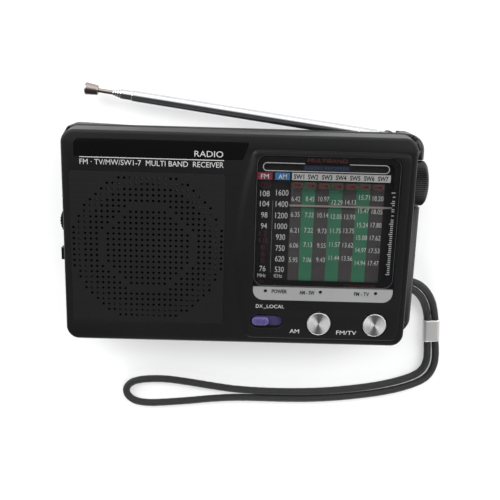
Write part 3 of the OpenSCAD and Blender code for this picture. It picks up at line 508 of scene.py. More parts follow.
# spun metal: rings round the button's middle, with the gloss stretched across them
def spunMetal():
    material, tree, skin = newMaterial("spunMetal")
    drawn = placeGroup(tree, drawnMetal, {"Colour": (0.88, 0.88, 0.87, 1), "Roughness": 0.3, "Scratch": 0.05})
    tree.links.new(drawn.outputs["Colour"], skin.inputs["Base Color"])
    uv = tree.nodes.new("ShaderNodeTexCoord").outputs["UV"]
    rings = tree.nodes.new("ShaderNodeMapping")
    rings.inputs["Scale"].default_value = (0.8, 60.0, 1.0)
    tree.links.new(uv, rings.inputs["Vector"])
    fine = addNoise(tree, rings.outputs[0], 1.0, 2.0)
    tree.links.new(addMath(tree, "MULTIPLY_ADD", fine, 0.2, 0.28), skin.inputs["Roughness"])
    bump = tree.nodes.new("ShaderNodeBump")
    bump.inputs["Strength"].default_value = 0.25
    bump.inputs["Distance"].default_value = 0.00002
    tree.links.new(fine, bump.inputs["Height"])
    tree.links.new(bump.outputs[0], skin.inputs["Normal"])
    tangent = tree.nodes.new("ShaderNodeTangent")
    tangent.direction_type = "UV_MAP"
    tangent.uv_map = "UVMap"
    tree.links.new(tangent.outputs[0], skin.inputs["Tangent"])
    skin.inputs["Anisotropic"].default_value = 0.85
    skin.inputs["Metallic"].default_value = 1.0
    return material


def printInk(name, colour):
    return plastic(name, colour, 0.5, 4000.0, 0.1, 0.0)


blackCase = plastic("blackCase", (0.0065, 0.0065, 0.007), 0.4, 2600.0, 0.22, 0.1, 0.0, 0.2)
glossBlack = plastic("glossBlack", (0.003, 0.003, 0.0032), 0.16, 2600.0, 0.02, 0.04, 0.0, 0.3)
rearBlack = plastic("rearBlack", (0.0075, 0.0075, 0.008), 0.44, 2200.0, 0.35, 0.15, 0.0, 0.35)
grilleBlack = grillePlastic()
ribbedBlack = plastic("ribbedBlack", (0.004, 0.004, 0.0045), 0.38, 3000.0, 0.2, 0.15, 0.0, 0.35)
cover = braidCover()
glass = windowGlass()
spun = spunMetal()
silverPaint = plastic("silverPaint", (0.235, 0.235, 0.235), 0.38, 3500.0, 0.1, 0.0)
purple = plastic("purplePlastic", (0.085, 0.07, 0.2), 0.3, 2600.0, 0.05, 0.0, 0.2)
purpleDark = plastic("purpleDark", (0.045, 0.036, 0.105), 0.4, 2600.0, 0.05, 0.0)
polished = metal("polishedChrome", (0.6, 0.6, 0.61), 0.1, 0.1)
clampMetal = metal("clampMetal", (0.62, 0.61, 0.6), 0.42, 0.15)
clampMetal.node_tree.nodes["Principled BSDF"].inputs["Metallic"].default_value = 0.55
darkNickel = metal("darkNickel", (0.33, 0.285, 0.265), 0.3, 0.15)
satinSteel = metal("satinSteel", (0.4, 0.4, 0.4), 0.35, 0.4)
print("materials made")

strap = {
    "diameter": 4.4, "exit": (98.3, -29.4, 8.0), "sides": 24, "spacing": 0.8, "pitch": 7.5, "relief": 0.1,
    "hidden": 13,
    "points": [
        (91.5, -29.4, 8), (98, -29.4, 8), (103, -30, 7.9), (108, -32.4, 7), (113, -37.4, 5), (117, -44.5, 3.2),
        (119.4, -54, 2.7), (120.2, -61.5, 2.7), (120.9, -69, 2.6), (121.9, -77, 2.3), (121.6, -84, 2.3),
        (119, -90.6, 2.3), (113.5, -95.4, 2.3), (103, -99.8, 2.3), (90, -103.2, 2.3), (76, -105.6, 2.3),
        (60, -107.6, 2.3), (44, -108.7, 2.3), (28, -109, 2.3), (14, -108.9, 2.3), (0, -109.1, 2.3),
        (-14, -110.2, 2.3), (-28, -111.9, 2.3), (-42, -113.3, 2.3), (-53, -113.9, 2.3), (-61, -112.6, 2.3),
        (-65.6, -108.8, 2.3), (-66, -104, 2.3), (-62, -100.1, 2.3), (-54, -98.2, 2.3), (-42, -97.9, 2.3),
        (-28, -99.5, 2.3), (-14, -101.6, 2.3), (0, -103.4, 2.3), (14, -104.2, 2.3), (28, -104.4, 2.3),
        (44, -104, 2.3), (60, -102.8, 2.3), (76, -100.7, 2.3), (89, -98.3, 2.3), (101, -95, 2.3),
        (110.4, -91, 2.3), (115, -86.6, 2.3), (116.8, -81, 2.3), (116.8, -76, 2.3), (116.2, -69.4, 2.6),
        (115.5, -61.9, 2.7), (114.9, -54.3, 2.7), (113.3, -47.8, 3.2), (110.1, -41.2, 5), (106, -36.6, 7),
        (102.2, -34.4, 7.9), (98, -33.9, 8), (91.5, -33.9, 8),
    ],
}


def makeStrap():
    line, length = smoothLine(strap["points"], strap["spacing"])
    side, over = acrossLine(line)
    turn = np.linspace(0, 2 * math.pi, strap["sides"], endpoint=False)
    run = np.arange(len(line)) * length / (len(line) - 1)
    # radius = half the diameter, raised where the two families of strands cross
    u = turn[None] / (2 * math.pi)
    v = run[:, None] / strap["pitch"] * 4
    crossing = np.cos(2 * math.pi * (4 * u + v)) * np.cos(2 * math.pi * (4 * u - v))
    radius = strap["diameter"] / 2 - strap["relief"] * (0.5 - 0.5 * crossing)
    spoke = np.cos(turn)[None, :, None] * side[:, None] + np.sin(turn)[None, :, None] * over[:, None]
    grid = line[:, None] + radius[..., None] * spoke
    uv = np.stack(np.broadcast_arrays(u, run[:, None] / strap["pitch"] * 4), -1)
    mesh = gridMesh("strap", grid, caps=True, uv=uv)
    turnOutward(mesh)
    piece = finishPiece("strap", mesh, cover, "case", 60, ("strap_cord",))
    return piece, line, length


# the metal clamp: a stadium outline that swells a little along its length, with rounded ends
clamp = {"centre": (117.8, -61.6, 2.7), "width": 10.2, "height": 5.0, "length": 13.6, "turn": 4.0, "rim": 0.7}


def makeClamp():
    turn = np.linspace(0, 2 * math.pi, 48, endpoint=False)
    half = clamp["height"] / 2
    inner = (clamp["width"] - clamp["height"]) / 2
    shift = np.sign(np.cos(turn)) * inner
    stadium = np.stack([np.cos(turn) * half + shift, np.sin(turn) * half], -1)
    near = np.linspace(0, 1, 6) ** 2 * 0.1
    at = np.concatenate([[0, 0], near, np.linspace(0.12, 0.88, 16), 1 - near[::-1], [1, 1]])
    ends = np.minimum(at, 1 - at) * clamp["length"]
    shrink = clamp["rim"] * (1 - np.sqrt(np.clip(1 - (1 - np.clip(ends / clamp["rim"], 0, 1)) ** 2, 0, 1)))
    shrink[0] = shrink[-1] = half - 0.5
    sizes = np.maximum(half - shrink, 0.3) / half
    x = (stadium[None, :, 0] - shift) * sizes[:, None] + shift
    z = stadium[None, :, 1] * sizes[:, None]
    y = np.broadcast_to(((at - 0.5) * clamp["length"])[:, None], x.shape)
    a = math.radians(clamp["turn"])
    cx, cy, cz = clamp["centre"]
    grid = np.stack([cx + x * math.cos(a) - y * math.sin(a), cy + x * math.sin(a) + y * math.cos(a), cz + z], -1)
    mesh = gridMesh("clamp", grid, caps=True)
    turnOutward(mesh)
    return finishPiece("clamp", mesh, clampMetal, "case", 50, ("strap_clamp",))


strapPiece, strapLine, strapLength = makeStrap()
clampPiece = makeClamp()
print("strap made:", round(strapLength), "mm")


def podOutline():
    rise = np.linspace(-54, 49, 90)
    left = np.stack([173.7 - np.sqrt(176.0**2 - (rise + 5) ** 2), rise], -1)
    rough = np.vstack([[[89.3, -54], [89.3, 49]], left[::-1]])
    return eased(rough, 1.0, 7.0)


def makeFrontShell():
    w, h, r, top, low = case["faceW"], case["caseH"], case["corner"], case["faceZ"], case["splitZ"]
    # side of the shell: inner lip, parting edge, drafted wall, quarter-round edge; each row is one rounded outline
    bend = np.linspace(0, math.pi / 2, 9)
    rows = [(w - 2 * case["wall"], h - 5, r - case["wall"], low + 3), (w - 2.0, h - 4, r - 2, low),
            (w + 2 * case["draft"] - 0.5, h - 0.5, r - 0.2, low), (w + 2 * case["draft"], h, r, low + 0.3)]
    for angle in bend:
        fall = 1 - math.cos(angle)
        rows.append((w - 3.0 * fall, h - 0.6 - 3.0 * fall, r - 1.5 * fall, top - 2 + 2 * math.sin(angle)))
    rings = []
    for wide, high, corner, level in rows:
        # the rounded edge reaches a little lower at the bottom than the wall under it
        drop = 1.0 if level > low + 3.1 else 0.0
        outline = roundRect(wide, high + 0.6 * drop, corner, 0, -0.3 * drop)
        rings.append(np.column_stack([outline, np.full(len(outline), level)]))
    skirt = gridMesh("skirt", np.stack(rings))
    pod = podOutline()
    inward = inwardNormals(pod)
    # the pod's edge: a slope, wide and soft on the left, narrow elsewhere
    leftward = np.clip(inward[:, 0], 0, 1) ** 2
    width = 1.0 + 4.2 * leftward * np.clip(1 - (pod[:, 0] - 12) / 10, 0, 1)
    t = np.linspace(0, 1, 10)[:, None]
    ring = pod[None] + inward[None] * (width[None] * t)[..., None]
    rise = case["faceZ"] - 0.02 + (case["podZ"] - case["faceZ"] + 0.02) * t * t * (3 - 2 * t)
    height = np.broadcast_to(rise[..., None], (*ring.shape[:2], 1))
    slope = gridMesh("slope", np.concatenate([ring, height], -1))
    lensH = case["lensH"] + 0.15 + case["barH"]
    lensY = case["lensTop"] - lensH / 2
    sx, sy, sw, sh = case["slot"]
    holes = [roundRect(case["lensW"] + 0.4, lensH + 0.4, case["lensR"] + 0.2, case["lensX"], lensY)]
    holes += [circle(x, case["buttonY"], case["buttonR"] + 0.75) for x in case["buttonXs"]]
    holes += [roundRect(sw, sh, sh / 2 - 0.1, sx, sy)]
    podTop = plateMesh("podTop", [ring[-1] - inward * 0.25] + holes, case["podZ"] - 1.5, case["podZ"], 0.18)
    window = roundRect(case["lensW"] - 6.8, case["lensH"] - 6.8, 3, case["lensX"], case["lensTop"] - case["lensH"] / 2)
    under = [roundRect(85, 98, 3, 46, -2.5), window]
    under += [circle(x, case["buttonY"], case["buttonR"] + 0.2) for x in case["buttonXs"]]
    under += [roundRect(sw - 0.6, 5.7, 2.4, sx, sy)]
    under += [circle(x, -26.6, 1.7, 20) for x in (15.6, 45.2, 75)]
    podUnder = plateMesh("podUnder", under, case["podZ"] - case["wall"], case["podZ"] - 1.55)
    px, py = case["speaker"]
    panel = roundRect(case["panel"], case["panel"], 2, px, py)
    face = [roundRect(w - 2.6, h - 2.6, r - 1.4, 0, -0.3), panel, pod + inward * 0.6]
    facePlate = plateMesh("facePlate", face, case["faceZ"] - case["wall"], case["faceZ"], 0.2)
    parts = joinMeshes("frontShell", [skirt, slope, podTop, podUnder, facePlate])
    finishPiece("frontShell", parts, blackCase, "case", 30, ("front_case",))


makeFrontShell()


# the glossy strip above the title line, a thin skin on the face between the left edge and the pod
def makeGlossStrip():
    left = np.array([[-85.4, 43.0], [1.6, 43.0], [4.2, 50.0], [5.0, 52.6], [-83.6, 52.6], [-85.4, 50.8]])
    mesh = plateMesh("glossStrip", [eased(left, 0.8, 1.2)], case["faceZ"] - 0.1, case["faceZ"] + 0.06, 0.05)
    finishPiece("glossStrip", mesh, glossBlack, "case")


makeGlossStrip()


# a CAD shell as one welded mesh with smooth corners
def weldedCopy(name, node, material, body, sharp=28):
    mesh = nodes[node].data.copy()
    work = bmesh.new()
    work.from_mesh(mesh)
    bmesh.ops.remove_doubles(work, verts=work.verts, dist=2e-6)
    work.to_mesh(mesh)
    work.free()
    if mesh.has_custom_normals:
        mesh.normals_split_custom_set_from_vertices(np.zeros((len(mesh.vertices), 3)).tolist())
    return finishPiece(name, mesh, material, body, sharp, (node,))


rearShell = weldedCopy("rearShell", "rear_case", rearBlack, "case")
# the left flank leans in towards the parting line
flank = np.zeros(len(rearShell.data.vertices) * 3, np.float32)
rearShell.data.vertices.foreach_get("co", flank)
flank = flank.reshape(-1, 3)
lean = np.clip((flank[:, 2] - 0.0145) / 0.006, 0, 1) * np.clip((-0.0925 - flank[:, 0]) / 0.0035, 0, 1)
flank[:, 0] += 0.0019 * lean
rearShell.data.vertices.foreach_set("co", flank.ravel())
rearShell.data.update()
weldedCopy("batteryDoor", "battery_door", rearBlack, "door")
print("shells made")

knob = {"x0": 94.2, "ribs": 72, "ribDepth": 0.45, "y": 30.2, "z": 19.0}


def makeKnob():
    turn = np.linspace(0, 2 * math.pi, knob["ribs"] * 8, endpoint=False)
    # radius along the knob: hub, ribbed barrel with rounded shoulders, dished end
    profile = [
        (0.0, 3.0, 0), (0.0, 11.6, 0), (0.3, 12.1, 0.4), (0.8, 12.38, 1), (5.6, 12.4, 1), (6.2, 12.25, 0.8),
        (6.8, 11.8, 0.3), (7.4, 11.0, 0), (7.75, 9.9, 0), (7.75, 9.0, 0), (7.4, 8.4, 0), (7.2, 5.8, 0), (7.2, 0.6, 0),
    ]
    along, outer, share = np.array(profile).T
    groove = (0.5 - 0.5 * np.cos(knob["ribs"] * turn))[None] ** 0.7
    radius = outer[:, None] - share[:, None] * knob["ribDepth"] * groove
    x = np.broadcast_to((knob["x0"] + along)[:, None], radius.shape)
    grid = np.stack([x, knob["y"] + radius * np.cos(turn), knob["z"] + radius * np.sin(turn)], -1)
    knobMesh = gridMesh("knob", grid, caps=True)
    t2 = np.linspace(0, 2 * math.pi, 40, endpoint=False)
    shaft = np.stack([
        np.stack([np.full(40, end), knob["y"] + 3 * np.cos(t2), knob["z"] + 3 * np.sin(t2)], -1) for end in (75.0, 94.3)
    ])
    mesh = joinMeshes("tuningKnob", [knobMesh, gridMesh("shaft", shaft, caps=True)])
    turnOutward(mesh)
    finishPiece("tuningKnob", mesh, ribbedBlack, "tuner", 40, ("tuning_knob",))


makeKnob()

button = {"radius": 6.3, "top": 43.9, "base": 40.8, "chamfer": 0.25, "dish": 0.12}


def makeButton(name, x, body, node):
    turn = np.linspace(0, 2 * math.pi, 72, endpoint=False)
    r, c = button["radius"], button["chamfer"]
    base, top = button["base"], button["top"]
    rings = [(r + 0.6, base - 0.9), (r + 0.6, base), (r, base + 0.1), (r, top - c), (r - 0.12, top - 0.2), (r - c, top)]
    flat = np.linspace(r - c - 0.15, 0.15, 14)
    rings += [(q, top - button["dish"] * (1 - (q / r) ** 2)) for q in flat]
    radii, heights = np.array([q[0] for q in rings]), np.array([q[1] for q in rings])
    level = np.broadcast_to(heights[:, None], (len(rings), len(turn)))
    across, up = x + radii[:, None] * np.cos(turn), case["buttonY"] + radii[:, None] * np.sin(turn)
    grid = np.stack([across, up, level], -1)
    uv = np.stack(np.broadcast_arrays((turn / (2 * math.pi))[None], (radii / r)[:, None]), -1)
    mesh = gridMesh(name, grid, caps=True, uv=uv)
    stem = plateMesh("stem", [roundRect(3, 3, 0.2, x, case["buttonY"])], 33.7, 40.0)
    stem.uv_layers.new(name="UVMap")
    mesh = joinMeshes(name, [mesh, stem])
    finishPiece(name, mesh, spun, body, 30, (node,))


makeButton("amButton", case["buttonXs"][0], "button_am", "am_button")
makeButton("fmButton", case["buttonXs"][1], "button_fm", "fm_button")


def makeSlider():
    x, y = 13.4, -43.9
    oval = plateMesh("oval", [roundRect(9.2, 4.4, 2.15, x, y - 0.2)], 40.5, 43.35, 0.35)
    ribs = [
        plateMesh("rib", [roundRect(0.55, 3.3, 0.25, x + k, y - 0.2)], 43.2, 43.75, 0.12)
        for k in (-2.6, -1.3, 0, 1.3, 2.6)
    ]
    mesh = joinMeshes("dxSlider", [oval] + ribs)
    finishPiece("dxSlider", mesh, purple, "dx", 35, ("dx_knob",))
    base = plateMesh("dxBase", [roundRect(25, 7.2, 0.6, x, y)], 39.85, 40.65)
    foot = plateMesh("dxFoot", [roundRect(2.4, 2.4, 0.2, x, y)], 34.2, 39.9)
    finishPiece("dxPlate", joinMeshes("dxPlate", [base, foot]), purpleDark, "dx")


makeSlider()
print("controls made")

# telescopic antenna: each piece is a profile spun about the antenna's own line, x counted from the pivot
antenna = {"pivot": (82.0, 54.0, 9.0), "rest": 7.4, "diameter": 6.2, "step": 0.76, "sheet": 0.3,
           "ends": (143.0, 149.4, 150.8, 152.2, 153.6), "rodStart": 23.0, "rodEnd": 161.8, "tipLength": 7.2,
           "sides": 56}


def spunMesh(name, profile, ringShape):
    turn = np.linspace(0, 2 * math.pi, antenna["sides"], endpoint=False)
    along = np.array([q[0] for q in profile])[:, None, None]
    radius = np.array([q[1] for q in profile])[:, None]
    a = math.radians(antenna["rest"])
    line, side = np.array([-math.cos(a), math.sin(a), 0]), np.array([math.sin(a), math.cos(a), 0])
    up = np.array([0, 0, 1.0])
    spoke = (radius * np.cos(turn))[..., None] * side + (radius * np.sin(turn))[..., None] * up
    grid = np.array(antenna["pivot"]) + along * line + spoke
    mesh = gridMesh(name, grid, closeRows=ringShape, caps=not ringShape)
    turnOutward(mesh)
    return mesh


def makeAntenna():
    for k, end in enumerate(antenna["ends"]):
        r = (antenna["diameter"] - k * antenna["step"]) / 2
        inner = r - antenna["sheet"]
        x0 = 13.0 + 2 * k
        start = [(x0 + 0.6, inner), (x0, inner), (x0, r - 0.1), (x0 + 0.15, r)]
        if k == 0:
            start = [
                (13.2, inner), (6.8, inner), (6.8, r - 0.3), (7.1, r), (9.9, r), (10.2, r - 0.22), (10.8, r - 0.22),
                (11.1, r), (15.7, r), (16.0, r + 0.24), (17.0, r + 0.24), (17.3, r),
            ]
        lip = [
            (end - 1.1, r), (end - 1.0, r - 0.12), (end - 0.8, r - 0.12), (end - 0.68, r), (end - 0.3, r),
            (end - 0.1, r - 0.1), (end, r - 0.24), (end, inner), (end - 0.6, inner),
        ]
        name = "antennaTube%d" % (k + 1)
        mesh = spunMesh(name, start + lip, True)
        if k == 0:
            # the flat tongue between the cheeks of the base, with its eye round the pin
            tongue = plateMesh("tongue", [roundRect(9.6, 5.0, 2.4, 2.2, 0), circle(0, 0, 1.6, 24)], -1.3, 1.3, 0.2)
            turn = Matrix.Rotation(math.radians(180 - antenna["rest"]), 4, "Z")
            tongue.transform(Matrix.Translation([mm * v for v in antenna["pivot"]]) @ turn)
            mesh = joinMeshes(name, [mesh, tongue])
        body = "tube_%d" % (k + 1)
        finishPiece(name, mesh, polished, body, 28, ("antenna_" + body,))
    end = antenna["rodEnd"]
    start = antenna["rodStart"]
    rodProfile = [(start, 0.6), (start, 1.18), (end - 1, 1.18), (end + 3, 1.18), (end + 3, 0.6)]
    rod = spunMesh("antennaRod", rodProfile, False)
    finishPiece("antennaRod", rod, darkNickel, "tip", 30, ("antenna_rod",))
    n = antenna["tipLength"]
    tipProfile = [
        (end - 0.1, 1.25), (end - 0.1, 2.5), (end + 0.15, 2.7), (end + n - 1.5, 3.3), (end + n - 0.9, 3.38),
        (end + n - 0.45, 3.2), (end + n - 0.15, 2.7), (end + n, 1.8), (end + n, 0.5),
    ]
    tip = spunMesh("antennaTip", tipProfile, False)
    finishPiece("antennaTip", tip, darkNickel, "tip", 30, ("antenna_tip",))


makeAntenna()

# dial: window, bar, scale and prints
nodes["dial_lens"].material_slots[0].material = glass
nodes["indicator_bar"].material_slots[0].material = silverPaint
inks = {
    "white": (0.44, 0.44, 0.43), "black": (0.008, 0.008, 0.008), "crimson": (0.17, 0.016, 0.035),
    "blue": (0.022, 0.13, 0.31), "lightGrey": (0.4, 0.4, 0.39), "oval": (0.075, 0.03, 0.025),
    "deepRed": (0.052, 0.007, 0.012), "green": (0.036, 0.15, 0.085), "grey": (0.055, 0.05, 0.05),
    "fadedBlue": (0.003, 0.004, 0.012), "redTitle": (0.08, 0.012, 0.009), "outline": (0.12, 0.12, 0.13),
    "fadedText": (0.02, 0.05, 0.13), "ruleGrey": (0.12, 0.12, 0.12), "swGrey": (0.42, 0.44, 0.42),
}
inkMaterials = {name: printInk("ink_" + name, colour) for name, colour in inks.items()}
dial = {
    "numberZ": case["podZ"] - case["lensT"] - 0.04,
    "columnsX": (27.0, 32.9, 39.6, 47.0, 53.9, 61.1, 68.2, 75.6), "columnsY": (33.0, -21.4),
    "fm": [("108", 25.8), ("104", 20.4), ("98", 14.4), ("94", 8.5), ("76", -14.9)],
    "fmFaint": [("12", 4.3), ("10", 0.6), ("8", -3.3), ("6", -7.0), ("5", -10.8)],
    "am": [("1600", 26.3), ("1400", 20.3), ("1200", 14.2), ("1000", 8.4), ("930", 2.5), ("750", -3.5), ("620", -9.4),
           ("530", -15.3)],
    "sw": [
        (29.9, [("6.42", 23.2), ("6.35", 14.9), ("6.21", 6.4), ("6.06", -1.8), ("5.95", -9.8)]),
        (37.6, [("8.45", 23.1), ("7.32", 14.6), ("7.22", 6.3), ("7.13", -1.6), ("7.06", -9.9)]),
        (45.1, [("10.97", 23.0), ("10.14", 14.4), ("9.73", 5.9), ("9.55", -2.1), ("9.43", -9.9)]),
        (52.5, [("12.29", 21.2), ("12.05", 13.6), ("11.75", 5.9), ("11.57", -1.5), ("11.44", -8.9)]),
        (59.8, [("14.13", 21.2), ("13.93", 13.4), ("13.75", 5.9), ("13.62", -1.9), ("13.56", -9.2)]),
        (67.2, [("15.71", 23.7), ("15.47", 16.6), ("15.24", 9.0), ("15.08", 2.1), ("14.97", -4.7), ("14.94", -11.8)]),
        (74.6, [("18.20", 23.1), ("18.05", 16.1), ("17.80", 8.9), ("17.62", 1.9), ("17.53", -5.1), ("17.47", -12.0)]),
    ],
}


# a line of some thickness round an outline: the outline and itself moved inwards
def ringPrint(name, outline, thick, z):
    return printMesh(name, [outline, outline + inwardNormals(outline) * thick], z)


def makePrints():
    z = dial["numberZ"]
    deep = case["scaleZ"] + 0.05
    groups = {name: [] for name in inks}

    def words(ink, text, x, y, w, h, level=z, bold=0.0):
        groups[ink].append(wordsMesh(text, (x, y), w, h, level, bold))

    def shape(ink, outline, level=z):
        groups[ink].append(printMesh("shape", [outline], level))

    # words on the face
    face = case["faceZ"] + 0.1
    words("white", "RADIO", -15.9, 45.9, 14.8, 3.1, face, -0.02)
    shape("white", box2(-82.5, 42.55, -8.1, 42.95), case["faceZ"] + 0.03)
    words("white", "FM · TV/MW/SW1-7  MULTI BAND  RECEIVER", -45.3, 40.35, 74.2, 2.8, case["faceZ"] + 0.03, 0.0)
    podTop = case["podZ"] + 0.03
    words("white", "DX", 12.6, -35.3, 3.7, 2.0, podTop, 0.0)
    words("white", "LOCAL", 21.3, -35.3, 9.4, 2.0, podTop, 0.0)
    shape("white", box2(14.9, -36.5, 16.1, -36.25), podTop)
    words("white", "AM", 32.1, -49.2, 5.2, 2.3, podTop, 0.0)
    words("white", "FM/TV", 60.5, -49.4, 11.0, 2.3, podTop, 0.0)
    # words on the bar
    words("black", "POWER", 23.1, -26.7, 8.3, 2.2, podTop + 0.03, 0.3)
    words("black", "AM - SW", 38.0, -27.0, 8.2, 2.2, podTop + 0.03, 0.3)
    words("black", "FM - TV", 67.4, -27.1, 8.2, 2.2, podTop + 0.03, 0.3)
    # header
    shape("crimson", box2(8.9, 33.4, 17.2, 37.2))
    shape("blue", box2(18.6, 33.5, 26.3, 37.3))
    shape("lightGrey", box2(27.4, 33.55, 78.7, 37.35))
    words("white", "FM", 13.3, 35.2, 4.2, 2.4, z + 0.03, 0.15)
    words("white", "AM", 22.5, 35.3, 4.4, 2.4, z + 0.03, 0.15)
    for k in range(7):
        words("black", "SW%d" % (k + 1), 31.0 + 7.3 * k, 35.4, 5.5, 2.6, z + 0.03, 0.3)
    # stadium line, broken at its top by the title
    outline = roundRect(65.8, 4.5, 2.24, 45.0, 40.25, 20)
    top = outline[:, 1].max()
    inner = roundRect(65.0, 3.7, 1.84, 45.0, 40.25, 20)
    for part in (outline[:, 0] < 45, outline[:, 0] >= 45):
        # half of the line, from the break round to the middle of the lower side
        pts = np.flatnonzero(part)
        if part[0] and part[-1]:
            pts = np.concatenate([pts[pts > 40], pts[pts <= 40]])
        gapX = 33.8 if outline[pts[0], 0] < 45 else 57.0
        lowOuter, lowInner = [[45.0, outline[:, 1].min()]], [[45.0, inner[:, 1].min()]]
        gapOuter, gapInner = [[gapX, top]], [[gapX, inner[:, 1].max()]]
        if gapX < 45:
            loop = np.vstack([gapOuter, outline[pts], lowOuter, lowInner, inner[pts][::-1], gapInner])
        else:
            loop = np.vstack([lowOuter, outline[pts], gapOuter, gapInner, inner[pts][::-1], lowInner])
        shape("white", loop)
    words("redTitle", "MULTIBAND", 45.5, 44.0, 20.6, 2.1, z, 0.1)
    shape("fadedBlue", box2(33.3, 38.9, 57.5, 41.5))
    words("fadedText", "RADIO RECEIVER", 45.4, 40.1, 23.0, 1.6, z + 0.03, 0.0)
    # ovals and the faint circle under the headers
    for k in range(7):
        shape("oval", roundRect(5.9, 3.0, 1.4, 30.3 + 7.07 * k, 30.9))
        words("deepRed", "%dM" % (49, 41, 31, 25, 22, 19, 16)[k], 30.3 + 7.07 * k, 30.9, 3.6, 1.6, z + 0.03, 0.1)
    groups["deepRed"].append(ringPrint("ring", roundRect(5.4, 3.3, 1.6, 13.9, 30.7), 0.35, z))
    words("deepRed", "TV", 13.9, 30.7, 2.6, 1.7, z, 0.05)
    for text, y in dial["fmFaint"]:
        words("deepRed", text, 13.5, y + 0.5, 1.9 * len(text) + 0.6, 2.5, z, 0.08)
    words("deepRed", "9 BAND RADIO", 66.5, -23.3, 16.5, 1.8, z, 0.05)
    for text, y in dial["fm"]:
        words("white", text, 13.65, y + 0.3, 1.65 * len(text), 3.0, z, 0.03)
    words("white", "MHz", 13.3, -18.4, 4.5, 2.0, z, 0.0)
    words("deepRed", "CH", 13.2, -21.9, 3.0, 1.7, z, 0.05)
    for text, y in dial["am"]:
        words("white", text, 22.65, y + 0.45, 1.62 * len(text), 3.1, z, 0.03)
    words("white", "KHz", 22.1, -18.5, 4.3, 2.0, z, 0.0)
    shape("ruleGrey", box2(17.75, -16.7, 18.0, 22.5))
    for x, marks in dial["sw"]:
        for text, y in marks:
            words("swGrey", text, x - 0.04 * (x - 30), y + 0.5 + 0.031 * (x - 30), 1.02 * len(text) + 0.5, 2.6, z, 0.0)
    # columns lie on the scale behind the pointer; a longer way from the eye, so a little larger
    def away(x, y):
        k = (eye[2] - deep) / (eye[2] - case["podZ"])
        return eye[0] + (x - eye[0]) * k, eye[1] + (y - eye[1]) * k

    for k in range(7):
        a = away(dial["columnsX"][k], dial["columnsY"][1])
        b = away(dial["columnsX"][k + 1], dial["columnsY"][0])
        shape("green" if k % 2 else "grey", box2(a[0], a[1], b[0], b[1]), deep)
    # ruler at the right: short and long ticks in uneven groups
    for k, y in enumerate(np.linspace(28.2, -16.2, 41)):
        if k not in (1, 3, 7, 10, 12):
            w = 2.1 if k % 5 == 0 else 1.4
            shape("swGrey", box2(81.8 - w, y - 0.24, 81.8, y + 0.24))
    # thin outline of the window
    edge = roundRect(case["lensW"] - 0.3, case["lensH"] - 0.2, case["lensR"] - 0.2, case["lensX"],
                     case["lensTop"] - case["lensH"] / 2, 20)
    groups["outline"].append(ringPrint("edge", edge, 0.28, z))
    for name, meshes in groups.items():
        if meshes:
            joined = joinMeshes("print_" + name, meshes)
            finishPiece("print_" + name, joined, inkMaterials[name], "case")


makePrints()
print("dial made")


def dress(material, *names):
    for name in names:
        for place in nodes[name].material_slots:
            place.material = material


scaleBlack = plastic("scaleBlack", (0.007, 0.007, 0.0075), 0.5, 3000.0, 0.05, 0.0)
boardBrown = plastic("boardBrown", (0.2, 0.11, 0.045), 0.4, 1500.0, 0.1, 0.1)
boardGreen = plastic("boardGreen", (0.02, 0.09, 0.03), 0.35, 1500.0, 0.1, 0.0)
lampRed = plastic("lampRed", (0.05, 0.004, 0.004), 0.15, 3000.0, 0.0, 0.0, 0.5)
ivory = plastic("ivory", (0.6, 0.57, 0.46), 0.42, 2200.0, 0.1, 0.0)
magnetBlack = plastic("magnetBlack", (0.03, 0.03, 0.032), 0.6, 1800.0, 0.4, 0.0)
paper = plastic("conePaper", (0.02, 0.018, 0.015), 0.85, 1800.0, 0.9, 0.2)
copper = metal("copperWire", (0.5, 0.2, 0.08), 0.35, 0.5)
sleeveBlue = plastic("sleeveBlue", (0.02, 0.05, 0.15), 0.25, 2500.0, 0.0, 0.0)
ferriteGrey = plastic("ferriteGrey", (0.035, 0.033, 0.031), 0.55, 1500.0, 0.3, 0.0)
phenolic = plastic("phenolic", (0.13, 0.06, 0.025), 0.45, 2000.0, 0.1, 0.0)
cellSleeve = plastic("cellSleeve", (0.3, 0.15, 0.03), 0.3, 2500.0, 0.0, 0.0)
twine = plastic("dialTwine", (0.6, 0.56, 0.45), 0.8, 6000.0, 0.8, 0.0)
needle = plastic("needlePlastic", (0.27, 0.235, 0.21), 0.4, 2500.0, 0.05, 0.0)
baseMetal = metal("baseMetal", (0.07, 0.065, 0.06), 0.35, 0.3)
dress(grilleBlack, "speaker_grille")
dress(scaleBlack, "dial_scale", "chips", "strap_anchor")
dress(boardGreen, "led_board")
dress(lampRed, "indicator_leds")
dress(satinSteel, "speaker_frame", "speaker_clamps", "if_transformers", "pulley_pins", "pointer_rail", "band_switch",
      "dx_switch", "battery_contacts", "case_screws", "board_screws", "antenna_bracket", "headphone_jack")
dress(magnetBlack, "speaker_magnet")
dress(paper, "speaker_cone")
dress(boardBrown, "circuit_board", "side_board")
dress(ivory, "tuning_capacitor", "ferrite_holders", "tuning_drum", "front_pulley", "rear_pulley", "push_switches")
dress(sleeveBlue, "electrolytics")
dress(ferriteGrey, "ferrite_rod")
dress(copper, "ferrite_coils")
dress(twine, "dial_cord")
dress(needle, "dial_pointer")
dress(ribbedBlack, "volume_wheel", "band_knob", "power_jack")
dress(phenolic, "volume_pot")
dress(cellSleeve, "battery_cells")
dress(baseMetal, "antenna_base", "hinge_pin")


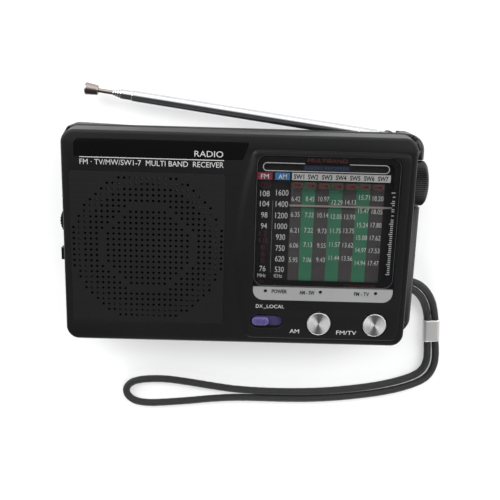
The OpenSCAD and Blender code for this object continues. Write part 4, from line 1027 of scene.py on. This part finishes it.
def makeStage():
    bpy.ops.mesh.primitive_plane_add(size=6, location=(0, 0, -0.0002))
    floor = bpy.context.object
    floor.name = "floor"
    material, tree, skin = newMaterial("paleFloor")
    skin.inputs["Base Color"].default_value = (0.65, 0.65, 0.65, 1)
    skin.inputs["Roughness"].default_value = 0.9
    skin.inputs["Specular IOR Level"].default_value = 0.1
    skin.inputs["Emission Color"].default_value = (1, 1, 1, 1)  # a table lit from below keeps the shadows pale
    skin.inputs["Emission Strength"].default_value = 0.36
    floor.data.materials.append(material)
    # place, aim, size in metres, power in watts
    lamps = [
        ((-1.0, 0.75, 0.85), (0, 0, 0), 1.1, 19.0),
        ((1.1, 0.5, 0.8), (0, 0, 0), 1.1, 17.0),
        ((0.0, 1.6, 1.1), (0, 0.05, 0), 2.1, 13.5),
        ((0.1, -1.3, 0.35), (0, -0.05, 0), 1.0, 12.0),
    ]
    for k, (place, aim, size, power) in enumerate(lamps):
        data = bpy.data.lights.new("softbox%d" % (k + 1), "AREA")
        data.shape = "SQUARE"
        data.size = size
        data.energy = power
        lamp = bpy.data.objects.new(data.name, data)
        bpy.context.scene.collection.objects.link(lamp)
        lamp.location = place
        lamp.rotation_euler = (Vector(aim) - Vector(place)).to_track_quat("-Z", "Y").to_euler()
    world = bpy.data.worlds.new("room")
    world.use_nodes = True
    # a bright back wall fading to a darker room in front
    tree = world.node_tree
    split = tree.nodes.new("ShaderNodeSeparateXYZ")
    tree.links.new(tree.nodes.new("ShaderNodeTexCoord").outputs["Generated"], split.inputs[0])
    fade = tree.nodes.new("ShaderNodeMapRange")
    fade.interpolation_type = "SMOOTHSTEP"
    for label, value in (("From Min", 0.0), ("From Max", 0.35), ("To Min", 0.07), ("To Max", 0.9)):
        fade.inputs[label].default_value = value
    tree.links.new(split.outputs[1], fade.inputs["Value"])
    tree.nodes["Background"].inputs["Color"].default_value = (0.97, 0.98, 1, 1)
    tree.links.new(fade.outputs[0], tree.nodes["Background"].inputs["Strength"])
    bpy.context.scene.world = world
    bpy.context.scene.view_settings.view_transform = "Standard"


makeStage()
print("stage made")
